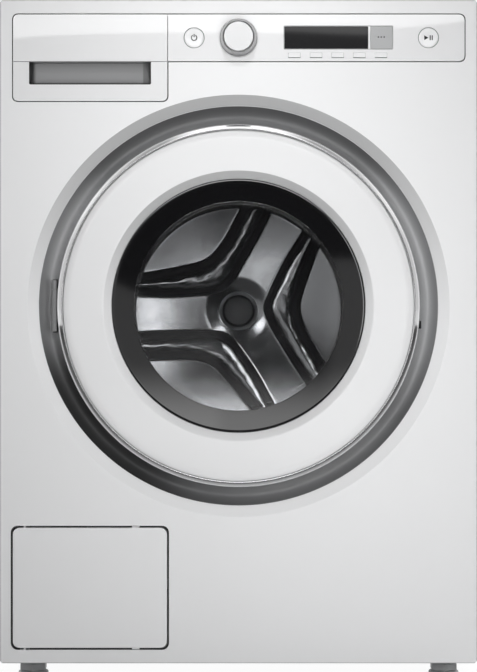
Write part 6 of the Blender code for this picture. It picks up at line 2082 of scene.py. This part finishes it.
# %% [markdown]
# The world is white to the camera and dim to matt surfaces. For gloss it holds a white wall behind
# the machine, a soft ceiling, two soft side walls and a dark room in front, in which bright cards
# hang, as in a real studio. A card is laid out by slopes: how far across and how far up a mirrored
# ray has gone for each metre towards the front. Its edges are pairs of slopes, between which it
# fades, so a sharp edge is a close pair and a soft edge is a wide one.


# %% World
def front_cards(room, slope_across, slope_up, far_across):
    """The cards that a flat mirror on the machine's front sees."""
    # The left card's upper edge is tilted, and the right one's is level.
    tilted = slope_up + slope_across * 0.44
    left = room.step(tilted, 0.0026, 0.0012) * room.step(slope_across, -0.006, -0.014) * 0.40
    right = room.step(slope_up, 0.0435, 0.0415) * room.step(slope_across, 0.040, 0.052) * 0.40
    # The top card's lower edge is bowed: it follows a cubic curve across.
    squared = slope_across * slope_across
    bow = slope_up - 0.16 - squared * (slope_across * 2.88 + 0.118)
    top = room.step(bow, -0.0006, 0.0006) * room.step(slope_up, 0.34, 0.30) * 4.0
    low = room.step(slope_up, -0.010, -0.044) * room.step(slope_up, -0.060, -0.054) * 1.9
    return left + right + top + low * room.step(far_across, 0.082, 0.074)


def side_cards(room, ahead, slope_across, slope_up, far_across):
    """Two upright cards, the right one far brighter than the left one."""
    cards = room.step(far_across, 0.094, 0.104) * room.step(far_across, 0.170, 0.140)
    cards = cards * room.step(slope_up, 0.125, 0.110) * room.step(slope_up, -0.022, -0.008)
    return cards * room.step(ahead, -0.5, -0.7) * room.step(slope_across, -0.02, 0.02, 0.05, 3.2)


def studio_world():
    world = bpy.data.worlds.new("studio")
    bpy.context.scene.world = world
    room = Finish("studio", world)
    direction = room.node("TexCoord", output=0)
    across, ahead, upwards = (room.part(direction, axis) for axis in range(3))
    sides = room.size_of(across)
    wall_behind = room.step(ahead, -0.15, 0.35)
    ceiling = room.step(upwards, 0.30, 0.60) * room.step(sides, 0.20, 0.42, 1.0, 0.3)
    side_walls = room.step(sides, 0.45, 0.85)
    floor_glow = room.step(upwards, -0.004, -0.012)
    in_front = room.step(ahead, -0.90, -0.97)
    towards_front = room.either(0.0 - ahead, 0.001)
    slope_across, slope_up = room.share(across, towards_front), room.share(upwards, towards_front)
    far_across = room.size_of(slope_across)
    cards = in_front * front_cards(room, slope_across, slope_up, far_across)
    cards = cards + side_cards(room, ahead, slope_across, slope_up, far_across)
    dark_room = 0.05 - in_front * 0.03 + floor_glow * (1 - in_front) * 0.12
    level = dark_room + cards + wall_behind * 0.95 + ceiling * 1.25 + side_walls * 0.60
    to_camera, to_matt = (room.node("LightPath", output=i) for i in (0, 2))
    to_rest = to_matt * 0.06 + (1 - to_matt) * level
    background = room.tree.nodes["Background"]
    room.feed(background.inputs["Strength"], to_camera + (1 - to_camera) * to_rest)
    room.feed(background.inputs["Color"], (1, 1, 1))
    print("world with", len(room.tree.nodes), "nodes")


studio_world()


# %% [markdown]
# The floor is a large pale plane. To the camera and in reflections it glows almost white, as a lit
# studio floor does, and a part of it stays matt so that the machine's shadow remains.


# %% Floor
FLOOR_GLOW, FLOOR_DIM, GLOW_SHARE = 1.08, 0.04, 0.86


def glowing(finish, strength):
    return finish.node("Emission", None, {"Color": (1, 1, 1), "Strength": strength})


def studio_floor():
    deselect()
    bpy.ops.mesh.primitive_plane_add(size=10, location=(0, 0, -0.0002))
    floor = name_it("floor")
    finish = Finish("studio_floor")
    finish.set(Base_Color=(0.85, 0.85, 0.85), Roughness=0.8)
    matt = Value(finish, finish.shader.outputs[0])
    glow, dim = glowing(finish, FLOOR_GLOW), glowing(finish, FLOOR_DIM)
    # Rays from the camera, rays that a gloss mirrors, and rays that pass through the glass.
    from_camera, mirrored, through = (finish.node("LightPath", output=i) for i in (0, 3, 6))
    seen = finish.either(finish.either(from_camera, mirrored), through)
    behind = finish.step(finish.part(finish.place(), 1), FACE - 0.2, FACE + 0.2)
    mirror_glow = finish.node("MixShader", None, {0: behind, 1: dim, 2: glow})
    shown = finish.node("MixShader", None, {0: mirrored, 1: glow, 2: mirror_glow})
    whole = finish.node("MixShader", None, {0: seen * GLOW_SHARE, 1: matt, 2: shown})
    finish.feed(output_of(finish), whole)
    floor.data.materials.append(finish.holder)
    floor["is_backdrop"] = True


studio_floor()

# %% [markdown]
# Last, the script measures how large the scene is now and prints how many pieces it made.

# %% Size and count
low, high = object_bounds()
print("pieces made:", len(made))
